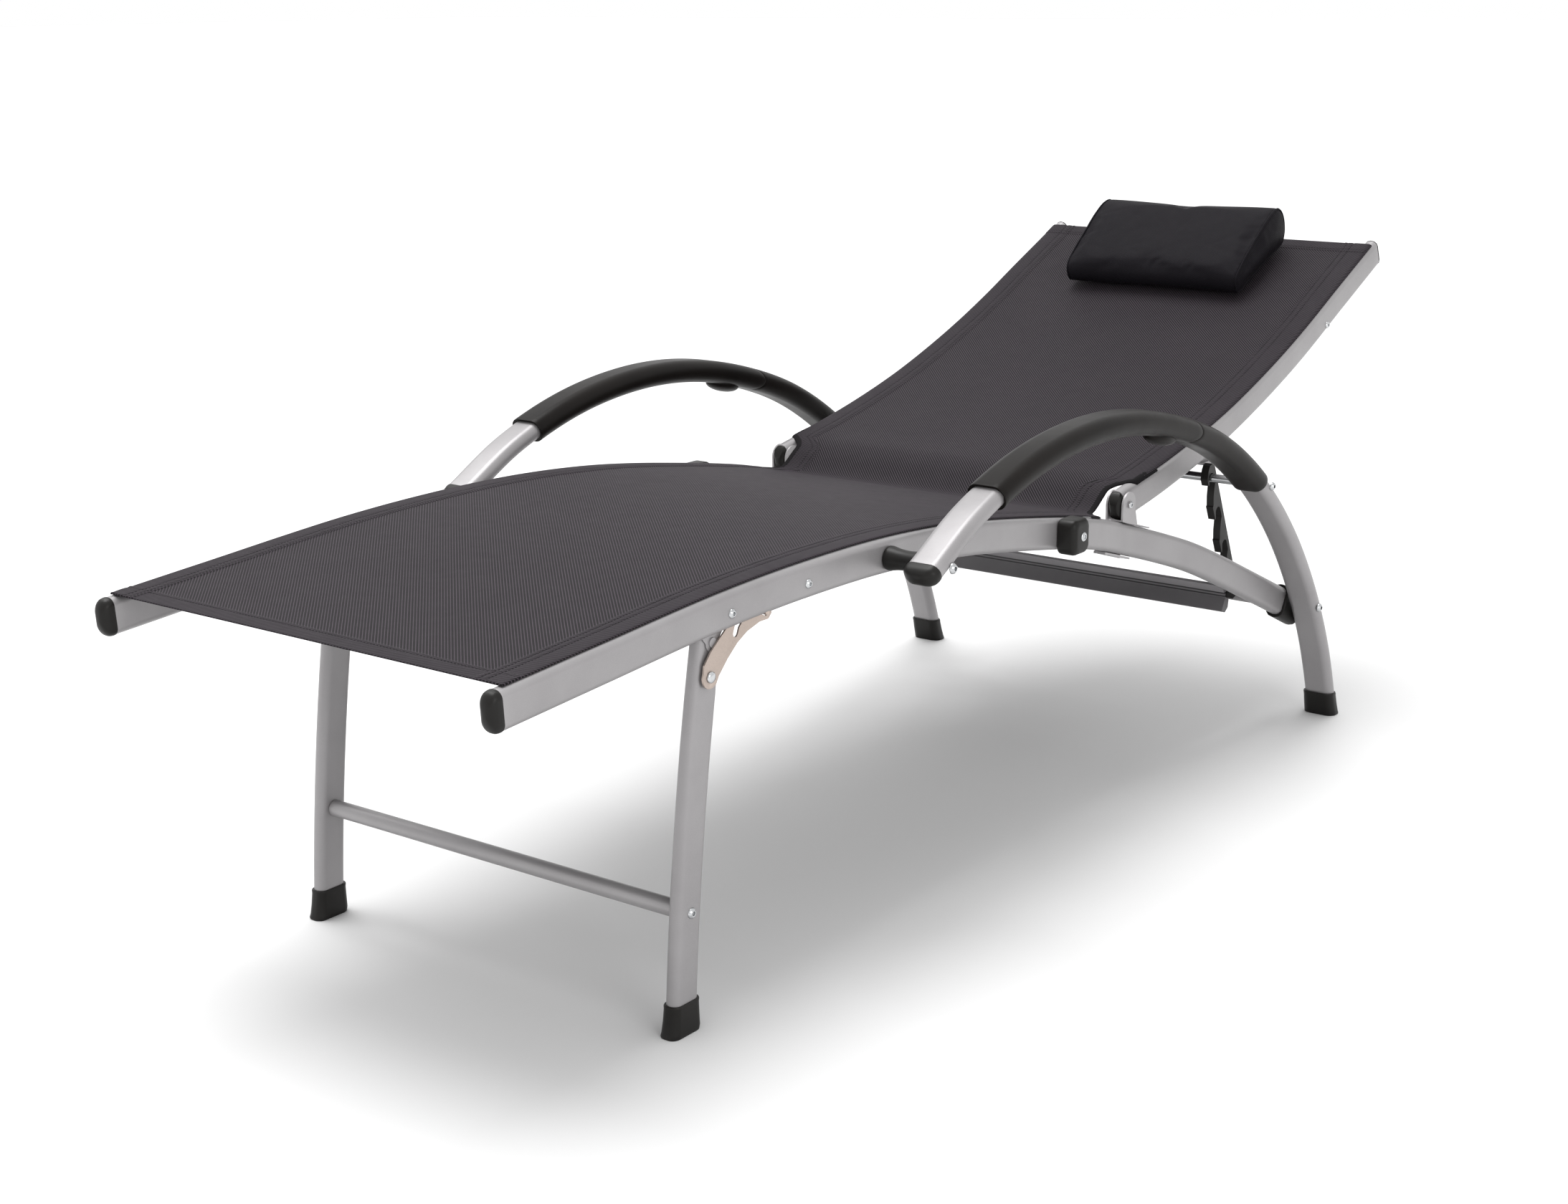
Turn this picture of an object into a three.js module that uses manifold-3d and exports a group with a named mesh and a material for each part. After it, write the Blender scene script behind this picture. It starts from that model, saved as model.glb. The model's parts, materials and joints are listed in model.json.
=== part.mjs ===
// Reclining sun lounger. Millimetres, +Z up, head end toward +Y, left side toward +X.
import * as THREE from "three";
import { mergeVertices } from "three/addons/utils/BufferGeometryUtils.js";
import Module from "manifold-3d";

const wasm = await Module();
wasm.setup();

// ---- Driving dimensions ----
const GAP = 0.3;
const RAIL_H = 38;
const RAIL_W = 18;
const RAIL_R = 8;
const SEAT_X = 258;
const FLARE_START = 240;
const FLARE_SLOPE = 0.0857;
const BACK_X = 253;
const ARM_X = 325;
const ARM_W = 40;
const ARM_T = 20.5;
const COVER_W = 47;
const COVER_T = 29;
const LEG_X = 249;
const LEG_W = 17;
const LEG_D = 36;
const FLOOR = 4.5;
const HINGE = { y: 227, z: 375.5 };
const LEG_HINGE = { y: -570, z: 388 };
const LEG_PIN_R = 3;
const STAY_PIVOT = { y: -577.5, z: 356.4 };
const STAY_STUD = { y: -491.3, z: 401 };
const STAY_RATIO = -1.2;
const STAY_X0 = 261.1;
const STAY_X1 = 262.9;
const BAR = { y: 453, z: 369, r: 5.5 };
const RACK_PIVOT = { y: 460, z: 415 };
const CLOTH = 1.6;
const SEAT_HALF = 261.5;
const NECK_HALF = 224;

// Centre lines in the side view, as [y, z].
const SEAT_LINE = [[-862, 395.5], [-720, 405], [-560, 415.5], [-430, 418.7], [-290, 416], [-150, 404.5],
  [0, 382], [150, 353.5], [227, 331.5], [310, 305], [380, 280], [455, 247.5], [520, 217.5],
  [598, 181], [650, 156]];
const BACK_LINE = [[200, 370.5], [227, 375.5], [336, 394], [500, 433], [680, 494.5], [830, 559.5],
  [962, 617.2]];
const ARM_LINE = [[-310, 413], [-227, 456], [-119, 490], [-4, 505], [105, 501], [216, 478], [327, 438],
  [431, 376], [523, 296], [596, 207], [650, 115], [685, 25], [691, -1]];

// ---- Geometry helpers ----
function toSolid(geometry) {
  const plain = geometry.clone();
  plain.deleteAttribute("normal");
  plain.deleteAttribute("uv");
  const merged = mergeVertices(plain, 1e-4);
  const index = Array.from(merged.index.array);
  const clean = [];
  for (let i = 0; i < index.length; i += 3) {
    const [a, b, c] = index.slice(i, i + 3);
    if (a !== b && b !== c && a !== c) clean.push(a, b, c);
  }
  const vertProperties = new Float32Array(merged.attributes.position.array);
  const mesh = new wasm.Mesh({ numProp: 3, vertProperties, triVerts: new Uint32Array(clean) });
  const solid = new wasm.Manifold(mesh);
  if (solid.volume() > 0) return solid;
  for (let i = 0; i < clean.length; i += 3) {
    [clean[i + 1], clean[i + 2]] = [clean[i + 2], clean[i + 1]];
  }
  return new wasm.Manifold(new wasm.Mesh({ numProp: 3, vertProperties, triVerts: new Uint32Array(clean) }));
}

function toGeometry(solid) {
  const mesh = solid.getMesh();
  const geometry = new THREE.BufferGeometry();
  geometry.setAttribute("position", new THREE.BufferAttribute(new Float32Array(mesh.vertProperties), 3));
  geometry.setIndex(new THREE.BufferAttribute(new Uint32Array(mesh.triVerts), 1));
  geometry.computeVertexNormals();
  return geometry;
}

function flatOval(width, height, radius, arcSteps = 3) {
  const points = [];
  const cx = width / 2 - radius;
  const cy = height / 2 - radius;
  [[1, 1], [-1, 1], [-1, -1], [1, -1]].forEach(([sx, sy], quarter) => {
    for (let i = 0; i <= arcSteps; i += 1) {
      const angle = ((quarter + i / arcSteps) * Math.PI) / 2;
      const point = new THREE.Vector2(sx * cx + radius * Math.cos(angle), sy * cy + radius * Math.sin(angle));
      if (points.length === 0 || points[points.length - 1].distanceTo(point) > 1e-5) points.push(point);
    }
  });
  if (points[0].distanceTo(points[points.length - 1]) < 1e-5) points.pop();
  return points;
}

function lineCurve(points) {
  return new THREE.CatmullRomCurve3(points.map(([y, z]) => new THREE.Vector3(0, y, z)));
}

// Curve parameter where a side-view line passes a given y.
function paramAtY(curve, y) {
  let low = 0;
  let high = 1;
  for (let i = 0; i < 40; i += 1) {
    const middle = (low + high) / 2;
    if (curve.getPointAt(middle).y < y) low = middle;
    else high = middle;
  }
  return (low + high) / 2;
}

class CurvePart extends THREE.Curve {
  constructor(base, from, to) {
    super();
    this.base = base;
    this.from = from;
    this.to = to;
  }

  getPoint(t, target = new THREE.Vector3()) {
    return target.copy(this.base.getPointAt(this.from + (this.to - this.from) * t));
  }
}

function partOfLine(curve, yFrom, yTo) {
  return new CurvePart(curve, paramAtY(curve, yFrom), paramAtY(curve, yTo));
}

function sweep(outline, path, steps, x) {
  const shape = new THREE.Shape(outline);
  const geometry = new THREE.ExtrudeGeometry(shape, { steps, bevelEnabled: false, extrudePath: path });
  return toSolid(geometry).translate([x, 0, 0]);
}

// Closed body through a list of rings with equal point counts.
function loft(rings) {
  const count = rings[0].length;
  const positions = rings.flat().flatMap((p) => [p.x, p.y, p.z]);
  const index = [];
  for (let r = 0; r + 1 < rings.length; r += 1) {
    for (let i = 0; i < count; i += 1) {
      const a = r * count + i;
      const b = r * count + ((i + 1) % count);
      index.push(a, b, b + count, a, b + count, a + count);
    }
  }
  const last = (rings.length - 1) * count;
  for (let i = 1; i + 1 < count; i += 1) {
    index.push(0, i + 1, i, last, last + i, last + i + 1);
  }
  const geometry = new THREE.BufferGeometry();
  geometry.setAttribute("position", new THREE.Float32BufferAttribute(positions, 3));
  geometry.setIndex(index);
  return toSolid(geometry);
}

// Domed plug on the end of a tube: lip, then a dome of the same outline.
function domedPlug(outline, x, end, direction, lip, dome, inset = 0) {
  const t = new THREE.Vector3(0, direction.y, direction.z).normalize();
  const up = new THREE.Vector3(0, -t.z, t.y);
  const stations = [[inset, 1], [lip, 1]];
  for (const degrees of [25, 45, 62, 76]) {
    const angle = THREE.MathUtils.degToRad(degrees);
    stations.push([lip + dome * Math.sin(angle), Math.cos(angle)]);
  }
  return loft(stations.map(([along, scale]) => outline.map((p) => new THREE.Vector3(
    x + p.x * scale,
    end.y + t.y * along + up.y * p.y * scale,
    end.z + t.z * along + up.z * p.y * scale,
  ))));
}

// Outline in the side view, given as [y, z], pulled out between two x planes.
function plate(points, x0, x1) {
  const shape = new THREE.Shape(points.map(([y, z]) => new THREE.Vector2(y, z)));
  const geometry = new THREE.ExtrudeGeometry(shape, { depth: x1 - x0, bevelEnabled: false });
  const basis = new THREE.Matrix4().makeBasis(
    new THREE.Vector3(0, 1, 0),
    new THREE.Vector3(0, 0, 1),
    new THREE.Vector3(1, 0, 0),
  );
  geometry.applyMatrix4(basis);
  return toSolid(geometry).translate([x0, 0, 0]);
}

function rod(radius, x0, x1, y, z, segments = 20) {
  const geometry = new THREE.CylinderGeometry(radius, radius, x1 - x0, segments);
  geometry.rotateZ(Math.PI / 2);
  return toSolid(geometry).translate([(x0 + x1) / 2, y, z]);
}

// Round-ended bar between two side-view points.
function capsule(from, to, radius, x0, x1, segments = 16) {
  const angle = Math.atan2(to[1] - from[1], to[0] - from[0]);
  const points = [];
  for (let i = 0; i <= segments / 2; i += 1) {
    const a = angle + Math.PI / 2 + (i / (segments / 2)) * Math.PI;
    points.push([from[0] + radius * Math.cos(a), from[1] + radius * Math.sin(a)]);
  }
  for (let i = 0; i <= segments / 2; i += 1) {
    const a = angle - Math.PI / 2 + (i / (segments / 2)) * Math.PI;
    points.push([to[0] + radius * Math.cos(a), to[1] + radius * Math.sin(a)]);
  }
  return plate(points, x0, x1);
}

function capsuleChain(points, radius, x0, x1) {
  let solid = capsule(points[0], points[1], radius, x0, x1);
  for (let i = 1; i + 1 < points.length; i += 1) {
    solid = solid.add(capsule(points[i], points[i + 1], radius, x0, x1));
  }
  return solid;
}

// Turned body about a line parallel to X: [distance along x, radius] pairs.
function turned(profile, x, y, z, segments = 20) {
  const points = profile.map(([along, radius]) => new THREE.Vector2(radius, along));
  const geometry = new THREE.LatheGeometry(points, segments);
  geometry.rotateZ(-Math.PI / 2);
  return toSolid(geometry).translate([x, y, z]);
}

function domeHead(x, y, z, radius, height) {
  const profile = [[0, 0], [0, radius], [height * 0.35, radius * 0.96], [height * 0.75, radius * 0.72],
    [height, radius * 0.3], [height, 0]];
  return turned(profile, x, y, z, 16);
}

function flare(solid) {
  return solid.warp((v) => {
    v[0] += Math.max(0, v[1] - FLARE_START) * FLARE_SLOPE;
  });
}

function box(x0, x1, y0, y1, z0, z1) {
  const geometry = new THREE.BoxGeometry(x1 - x0, y1 - y0, z1 - z0);
  return toSolid(geometry).translate([(x0 + x1) / 2, (y0 + y1) / 2, (z0 + z1) / 2]);
}

// ---- Materials and node list ----
const LOOKS = {
  silver: [0xb2afb0, 0.45, 0.6],
  zinc: [0xbeb0a6, 0.35, 0.9],
  plastic: [0x2d2a28, 0.55, 0],
  graphite: [0x5d5b5e, 0.4, 0.6],
  sling: [0x46403f, 0.85, 0],
  cushion: [0x26242a, 0.9, 0],
};
const group = new THREE.Group();
group.name = "reclining_sun_lounger";

function add(name, solid, look) {
  const [color, roughness, metalness] = LOOKS[look];
  const material = new THREE.MeshStandardMaterial({ color, roughness, metalness });
  material.name = look;
  const mesh = new THREE.Mesh(toGeometry(solid), material);
  mesh.name = name;
  group.add(mesh);
}

function addPair(name, solid, look) {
  add(`${name}_l`, solid, look);
  add(`${name}_r`, solid.mirror([1, 0, 0]), look);
}

// ---- Seat side rails ----
const seatCurve = lineCurve(SEAT_LINE);
const RAIL_END_Y = 628;
const railOutline = flatOval(RAIL_W, RAIL_H, RAIL_R);
const RAIL_FOOT_Y = -858;
let seatRail = sweep(railOutline, partOfLine(seatCurve, RAIL_FOOT_Y, RAIL_END_Y), 26, SEAT_X);
seatRail = flare(seatRail);
// Slot in the underside of the rail that takes the folding stay, crossed by the stud the stay slides on.
const SLOT_X0 = 257.6;
const SLOT_X1 = 263.3;
const staySlot = box(SLOT_X0, SLOT_X1, -604, -428, 380, 425);
const stayStud = rod(3, SLOT_X0 - 2, SLOT_X1 + 2, STAY_STUD.y, STAY_STUD.z, 20);
addPair("seat_rail", seatRail.subtract(staySlot).add(stayStud), "silver");

function endOf(curve, y) {
  const u = paramAtY(curve, y);
  return { point: curve.getPointAt(u), tangent: curve.getTangentAt(u) };
}
const footEnd = endOf(seatCurve, RAIL_FOOT_Y);
const capOutline = flatOval(RAIL_W + 1, RAIL_H + 1, RAIL_R + 0.5);
const backward = { y: -footEnd.tangent.y, z: -footEnd.tangent.z };
addPair("rail_end_cap", domedPlug(capOutline, SEAT_X, footEnd.point, backward, 4, 11, GAP), "plastic");

// ---- Arms that curve down into the rear legs ----
const armCurve = lineCurve(ARM_LINE);
const armOutline = flatOval(ARM_W, ARM_T, 9.8);
const armFull = sweep(armOutline, armCurve, 34, ARM_X);
const FOOT_FLOOR = FLOOR + 4;
const armTube = armFull.trimByPlane([0, 0, 1], FOOT_FLOOR + GAP);
addPair("arm_tube", armTube, "silver");

const armFront = { point: armCurve.getPointAt(0), tangent: armCurve.getTangentAt(0) };
const armBack = { y: -armFront.tangent.y, z: -armFront.tangent.z };
const armCapOutline = flatOval(ARM_W + 1.4, ARM_T + 1.4, 10.5);
addPair("arm_front_cap", domedPlug(armCapOutline, ARM_X, armFront.point, armBack, 5, 12, GAP), "plastic");

const COVER_FRONT = -195;
const COVER_SEAM = 235;
const COVER_REAR = 430;
const coverOutline = flatOval(COVER_W, COVER_T, 14);
const coverBore = flatOval(ARM_W + 1.2, ARM_T + 1.2, 10.4);
function cover(yFrom, yTo, steps) {
  const outer = sweep(coverOutline, partOfLine(armCurve, yFrom, yTo), steps, ARM_X);
  const bore = sweep(coverBore, partOfLine(armCurve, yFrom - 8, yTo + 8), steps + 2, ARM_X);
  return { outer, bore };
}
const frontCover = cover(COVER_FRONT, COVER_SEAM - GAP, 14);
const gripBump = toSolid(new THREE.SphereGeometry(1, 14, 8)).scale([15, 22, 9]).rotate([-15, 0, 0]);
const bumpPlaced = gripBump.translate([ARM_X, 186, 470]);
addPair("armrest_front", frontCover.outer.add(bumpPlaced).subtract(frontCover.bore), "plastic");
const rearCover = cover(COVER_SEAM, COVER_REAR, 8);
addPair("armrest_rear", rearCover.outer.subtract(rearCover.bore), "plastic");

// Rubber boots under the rear legs.
function boot(x, rows) {
  return loft(rows.map(([z, y, width, length]) => flatOval(width, length, Math.min(width, length) * 0.42)
    .map((p) => new THREE.Vector3(x + p.x, y + p.y, z))));
}
const rearBoot = boot(ARM_X, [[FLOOR, 690, 46, 28], [FLOOR + 5, 688.5, 45.4, 27],
  [FLOOR + 31, 680.8, 43.6, 25], [FLOOR + 33.5, 680, 42.6, 24]]);
const rearPocket = sweep(flatOval(ARM_W + 0.8, ARM_T + 0.8, 10.2), armCurve, 34, ARM_X)
  .trimByPlane([0, 0, 1], FOOT_FLOOR);
addPair("rear_foot", rearBoot.subtract(rearPocket), "plastic");

// Waisted spacer between the arm front and the seat rail.
const ARM_FRONT_AXIS = { y: -290, z: 414.5 };
const RAIL_OUT = SEAT_X + RAIL_W / 2;
const ARM_IN = ARM_X - ARM_W / 2;
const spacerLength = ARM_IN - RAIL_OUT - 2 * GAP;
const spacerProfile = [[0, 0], [0, 12.5], [4, 13], [spacerLength * 0.55, 10.6], [spacerLength, 11.4],
  [spacerLength, 0]];
const spacer = turned(spacerProfile, RAIL_OUT + GAP, ARM_FRONT_AXIS.y, ARM_FRONT_AXIS.z, 24);
addPair("arm_spacer", spacer, "plastic");

// Socket that holds the rear end of the seat rail against the rear leg.
const socketOuter = flare(sweep(flatOval(26, 46, 11), partOfLine(seatCurve, 606, 647), 4, SEAT_X));
const socketPocket = flare(sweep(flatOval(RAIL_W + 0.8, RAIL_H + 0.8, RAIL_R + 0.4),
  partOfLine(seatCurve, 580, RAIL_END_Y + 0.5), 6, SEAT_X));
const socket = socketOuter.subtract(socketPocket).trimByPlane([-1, 0, 0], -(ARM_IN - GAP));
addPair("rail_socket", socket, "plastic");

// ---- Cross tubes ----
const railInner = SEAT_X - RAIL_W / 2 - GAP;
add("front_cross_tube", rod(7.5, -railInner, railInner, -424, 409, 24), "silver");
const rearTubeHalf = 277.6;
add("rear_cross_tube", rod(8, -rearTubeHalf, rearTubeHalf, 586, 182, 24), "silver");
const barHalf = ARM_IN - GAP;
add("prop_bar", rod(BAR.r, -barHalf, barHalf, BAR.y, BAR.z, 24), "zinc");

// ---- Arm bolts ----
const ARM_OUT = ARM_X + ARM_W / 2 + GAP;
addPair("arm_front_bolt", domeHead(ARM_OUT, ARM_FRONT_AXIS.y, ARM_FRONT_AXIS.z, 6, 4), "zinc");
addPair("arm_bar_bolt", domeHead(ARM_OUT, BAR.y - 3, BAR.z, 5.5, 4), "zinc");
addPair("arm_leg_bolt", domeHead(ARM_OUT, 615, 174, 6, 4), "zinc");

// ---- Backrest hinge clevis, with its pin ----
const railAtHinge = endOf(seatCurve, 222);
function onRail(along, across) {
  const t = railAtHinge.tangent;
  return [railAtHinge.point.y + t.y * along - t.z * across, railAtHinge.point.z + t.z * along + t.y * across];
}
const EAR_T = 2.5;
const earGap = 0.4;
const earInner = BACK_X - RAIL_W / 2 - earGap;
const earOuter = BACK_X + RAIL_W / 2 + earGap;
const baseLow = RAIL_H / 2 + 0.7;
const baseTop = baseLow + 1.6;
const PIN_R = 4;
function ear(x0, x1) {
  const foot = plate([onRail(-17, baseLow), onRail(22, baseLow), [HINGE.y + 13, HINGE.z],
    [HINGE.y - 15.5, HINGE.z]], x0, x1);
  return foot.add(rod(15.5, x0, x1, HINGE.y, HINGE.z, 24));
}
const base = plate([onRail(-17, baseLow), onRail(38, baseLow), onRail(38, baseTop), onRail(-17, baseTop)],
  earInner - EAR_T, earOuter + EAR_T);
const tab = plate([onRail(34, baseLow), onRail(54, baseLow), onRail(54, baseTop), onRail(34, baseTop)],
  253, 265);
const wrapX = railInner;
const wrap = plate([onRail(-17, baseTop), onRail(-42, -22.9), onRail(22, -22.9), onRail(22, baseTop)],
  wrapX - EAR_T, wrapX);
const underFlange = plate([onRail(-42, -19.9), onRail(-42, -22.4), onRail(22, -22.4), onRail(22, -19.9)],
  wrapX - EAR_T, 262);
const pin = rod(PIN_R, earInner - EAR_T - 1.5, earOuter + EAR_T + 2, HINGE.y, HINGE.z, 24);
const clevis = ear(earInner - EAR_T, earInner).add(ear(earOuter, earOuter + EAR_T)).add(base).add(tab)
  .add(wrap).add(underFlange).add(pin);
addPair("hinge_clevis", clevis, "silver");

// ---- Bumper block on the seat rail ----
const blockRing = (x, grow) => flatOval(36 - 2 * grow, 42 - 2 * grow, 9 - grow)
  .map((p) => new THREE.Vector3(x, 68 + p.x, 370 + p.y));
const block = loft([blockRing(RAIL_OUT + GAP, 1), blockRing(RAIL_OUT + 4, 0), blockRing(288, 0),
  blockRing(291, 2), blockRing(292, 5)]);
addPair("bumper_block", block, "plastic");

// ---- Front legs ----
const LEG_TOP = 385;
function legY(z) {
  const t = z / LEG_TOP;
  return -615.3 + 47 * t - 26 * t * (1 - t);
}
const legLine = [-12, 60, 130, 200, 270, 330, 385, 402].map((z) => [legY(z), z]);
const legCurve = lineCurve(legLine);
const legSweep = sweep(flatOval(LEG_W, LEG_D, 8), legCurve, 14, LEG_X);
const LEG_OUT = LEG_X + LEG_W / 2;
const LEG_IN = LEG_X - LEG_W / 2;
const legHole = rod(LEG_PIN_R + GAP, LEG_IN - 5, LEG_OUT + 5, LEG_HINGE.y, LEG_HINGE.z, 24);
// The top is cut back behind the pivot so that the leg folds flat under the rail.
const RAIL_UNDER = 396.5;
const legLid = RAIL_UNDER - 3;
const legBack = LEG_HINGE.y + RAIL_UNDER - LEG_HINGE.z - 1;
const legKeep = box(150, 300, -700, LEG_HINGE.y, -20, legLid)
  .add(box(150, 300, LEG_HINGE.y - 1, legBack, 300, LEG_HINGE.z))
  .add(box(150, 300, LEG_HINGE.y - 1, -480, -20, 317.5))
  .add(rod(7.4, 150, 300, LEG_HINGE.y, LEG_HINGE.z, 24));
const stayPin = rod(3.5, LEG_OUT - 3, STAY_X1 + 0.6, STAY_PIVOT.y, STAY_PIVOT.z, 20)
  .add(domeHead(STAY_X1 + GAP, STAY_PIVOT.y, STAY_PIVOT.z, 6, 2.4));
const leg = legSweep.intersect(legKeep).trimByPlane([0, 0, 1], FLOOR + 4 + GAP)
  .subtract(legHole).add(stayPin);
addPair("front_leg", leg, "silver");

const frontBoot = boot(LEG_X, [[FLOOR, legY(6) - 1, 22.5, 44.5], [FLOOR + 5, legY(10), 22, 44],
  [FLOOR + 30, legY(36), 20, 40], [FLOOR + 32.5, legY(38), 19, 38.5]]);
const bootPocket = sweep(flatOval(LEG_W + 0.7, LEG_D + 0.7, 8.3), legCurve, 14, LEG_X)
  .trimByPlane([0, 0, 1], FLOOR + 4);
addPair("front_foot", frontBoot.subtract(bootPocket), "plastic");

const CROSSBAR_Z = 127;
add("front_leg_crossbar", rod(9, -LEG_IN + GAP, LEG_IN - GAP, legY(CROSSBAR_Z), CROSSBAR_Z, 24), "silver");

// Fork on the seat rail that carries the leg pivot: inner ear, shelf, outer ear and pin in one piece.
const forkIn = LEG_IN - 0.5;
const forkOut = LEG_OUT + 0.5;
const railPlate = plate([[-588, 400], [-588, 416], [-540, 419], [-540, 400]], railInner - 2.2, railInner);
const shelf = plate([[-588, 396.8], [-588, 400.4], [-548, 400.4], [-548, 396.8]], forkIn - 2.2, railInner);
const innerEar = plate([[-579, 388], [-588, 399], [-548, 399], [-561, 388]], forkIn - 2.2, forkIn)
  .add(rod(9, forkIn - 2.2, forkIn, LEG_HINGE.y, LEG_HINGE.z, 24));
const outerEar = plate([[-579, 388], [-588, 399], [-588, 410], [-548, 412], [-552, 399], [-561, 388]],
  forkOut, forkOut + 1.2).add(rod(9, forkOut, forkOut + 1.2, LEG_HINGE.y, LEG_HINGE.z, 24));
const legPin = rod(LEG_PIN_R, forkIn - 3.6, forkOut + 2.2, LEG_HINGE.y, LEG_HINGE.z, 24)
  .add(rod(5, forkOut + 1, forkOut + 2.5, LEG_HINGE.y, LEG_HINGE.z, 20));
addPair("leg_bracket", railPlate.add(shelf).add(innerEar).add(legPin).add(outerEar), "silver");

// Slotted stay: the slot follows the rail stud while the leg folds.
function studInStay(foldDegrees) {
  const fold = THREE.MathUtils.degToRad(foldDegrees);
  const arm = new THREE.Vector2(STAY_PIVOT.y - LEG_HINGE.y, STAY_PIVOT.z - LEG_HINGE.z);
  arm.rotateAround(new THREE.Vector2(0, 0), fold);
  const rel = new THREE.Vector2(STAY_STUD.y - LEG_HINGE.y - arm.x, STAY_STUD.z - LEG_HINGE.z - arm.y);
  rel.rotateAround(new THREE.Vector2(0, 0), -fold * (1 + STAY_RATIO));
  return [STAY_PIVOT.y + rel.x, STAY_PIVOT.z + rel.y];
}
const slotPath = [0, 15, 30, 45, 60, 75, 90].map(studInStay);
const stayEdge = [[0, -11], [8, -9], [12.5, -1.5], [26, 12], [41, 24], [56.5, 32], [76, 37], [90, 37],
  [95, 42], [93, 50], [84, 55], [62, 59], [48, 57], [34, 49], [22.5, 40], [12, 32.5], [1, 24],
  [-9, 13], [-11, 0]];
const stayBlank = plate(stayEdge.map(([y, z]) => [STAY_PIVOT.y + y, STAY_PIVOT.z + z]), STAY_X0, STAY_X1)
  .add(rod(11.5, STAY_X0, STAY_X1, STAY_PIVOT.y, STAY_PIVOT.z, 24));
const stay = stayBlank.subtract(capsuleChain(slotPath, 3.8, STAY_X0 - 1, STAY_X1 + 1))
  .subtract(rod(3.8, STAY_X0 - 1, STAY_X1 + 1, STAY_PIVOT.y, STAY_PIVOT.z, 20));
addPair("fold_stay", stay, "zinc");

// ---- Backrest frame ----
const backCurve = lineCurve(BACK_LINE);
const BACK_LOW = 219;
const BACK_TOP = 945;
const backHole = rod(PIN_R + GAP, 230, 280, HINGE.y, HINGE.z, 24);
const backSweep = sweep(railOutline, partOfLine(backCurve, BACK_LOW, BACK_TOP), 18, BACK_X);
const baseRoom = plate([onRail(-30, 0), onRail(40, 0), onRail(40, baseTop + 0.6), onRail(-30, baseTop + 0.6)],
  230, 280);
addPair("backrest_rail", backSweep.subtract(backHole).subtract(baseRoom), "silver");
const backLowEnd = endOf(backCurve, BACK_LOW);
const backDown = { y: -backLowEnd.tangent.y, z: -backLowEnd.tangent.z };
const plugOutline = flatOval(RAIL_W - 0.6, RAIL_H - 2, RAIL_R - 0.5);
const lowPlug = domedPlug(plugOutline, BACK_X, backLowEnd.point, backDown, 2.5, 9.5, GAP);
const plugRoom = rod(19.6, 235, 275, HINGE.y, HINGE.z, 40);
addPair("backrest_plug", lowPlug.intersect(plugRoom).subtract(baseRoom), "plastic");
const backTopEnd = endOf(backCurve, BACK_TOP);
const backTopCap = domedPlug(capOutline, BACK_X, backTopEnd.point, backTopEnd.tangent, 1.5, 2, GAP);
addPair("backrest_top_cap", backTopCap, "plastic");
const backInner = BACK_X - RAIL_W / 2 - GAP;
add("backrest_cross_tube", rod(8, -backInner, backInner, 784, 529, 24), "silver");

// ---- Hook rack that sets the backrest angle ----
const RACK_STEP = 53.5;
const rackDown = new THREE.Vector2(0.4255, -0.905).normalize();
const rackBack = new THREE.Vector2(-rackDown.y, rackDown.x);
function onRack(along, back) {
  return [BAR.y + rackDown.x * along + rackBack.x * back, BAR.z + rackDown.y * along + rackBack.y * back];
}
const COMB_X0 = 250.2;
const COMB_X1 = 260.2;
const PLATE_X0 = 241.1;
const PLATE_X1 = 243.6;
const PLATE_OUT = COMB_X0 - GAP;
const RACK_END = 194;
const combTop = [onRack(-13, -4), onRack(-17, 2), onRack(-16, 9), onRack(-8, 13.5)];
const combEnd = [onRack(RACK_END - 14, 12), onRack(RACK_END, 5), onRack(RACK_END, -5), onRack(186, -9)];
const combFront = [onRack(3 * RACK_STEP + 14, -10.5), onRack(-4, -10.5)];
let comb = plate([...combTop, ...combEnd, ...combFront], COMB_X0, COMB_X1);
for (let hook = 0; hook < 4; hook += 1) {
  const s = hook * RACK_STEP;
  // Mouth open downward behind a pointed finger, then the hollow in front of the next finger.
  const mouth = plate([onRack(s - 1, -6.4), onRack(s + 5.5, -8.8), onRack(s + 11, -30), onRack(s + 43.5, -30),
    onRack(s + 39, -8.5), onRack(s + 28, -4), onRack(s + 18, 2), onRack(s + 12, 6.5), onRack(s - 1, 6.5)],
  COMB_X0 - 1, COMB_X1 + 1);
  const seat = rod(6.5, COMB_X0 - 1, COMB_X1 + 1, onRack(s, 0)[0], onRack(s, 0)[1], 20);
  comb = comb.subtract(mouth).subtract(seat);
}
addPair("rack_comb", comb, "plastic");
// Plate with a joggle: the top lies on the backrest rail, the lower part steps out to the comb.
const STEP_LOW = 385;
const STEP_HIGH = 388;
const plateTop = [[RACK_PIVOT.y - 16, RACK_PIVOT.z + 2], [RACK_PIVOT.y - 8, RACK_PIVOT.z + 10],
  [RACK_PIVOT.y + 8, RACK_PIVOT.z + 10], [RACK_PIVOT.y + 18, RACK_PIVOT.z - 2],
  [486, STEP_LOW], [448, STEP_LOW]];
const plateStep = [[486, STEP_LOW], [448, STEP_LOW], [447, STEP_HIGH], [485, STEP_HIGH]];
const plateStem = [[486, STEP_HIGH], [450, STEP_HIGH], onRack(-8, 8), onRack(20, 9.5), onRack(186, 9.5),
  onRack(RACK_END, 20), onRack(RACK_END - 6, 26), onRack(0, 29.5)];
const plateSolid = plate(plateTop, PLATE_X0, PLATE_X1).add(plate(plateStep, PLATE_X0, PLATE_OUT))
  .add(plate(plateStem, PLATE_OUT - 2.5, PLATE_OUT));
const plateHole = rod(PIN_R + GAP, PLATE_X0 - 1, PLATE_X1 + 1, RACK_PIVOT.y, RACK_PIVOT.z, 24);
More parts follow.
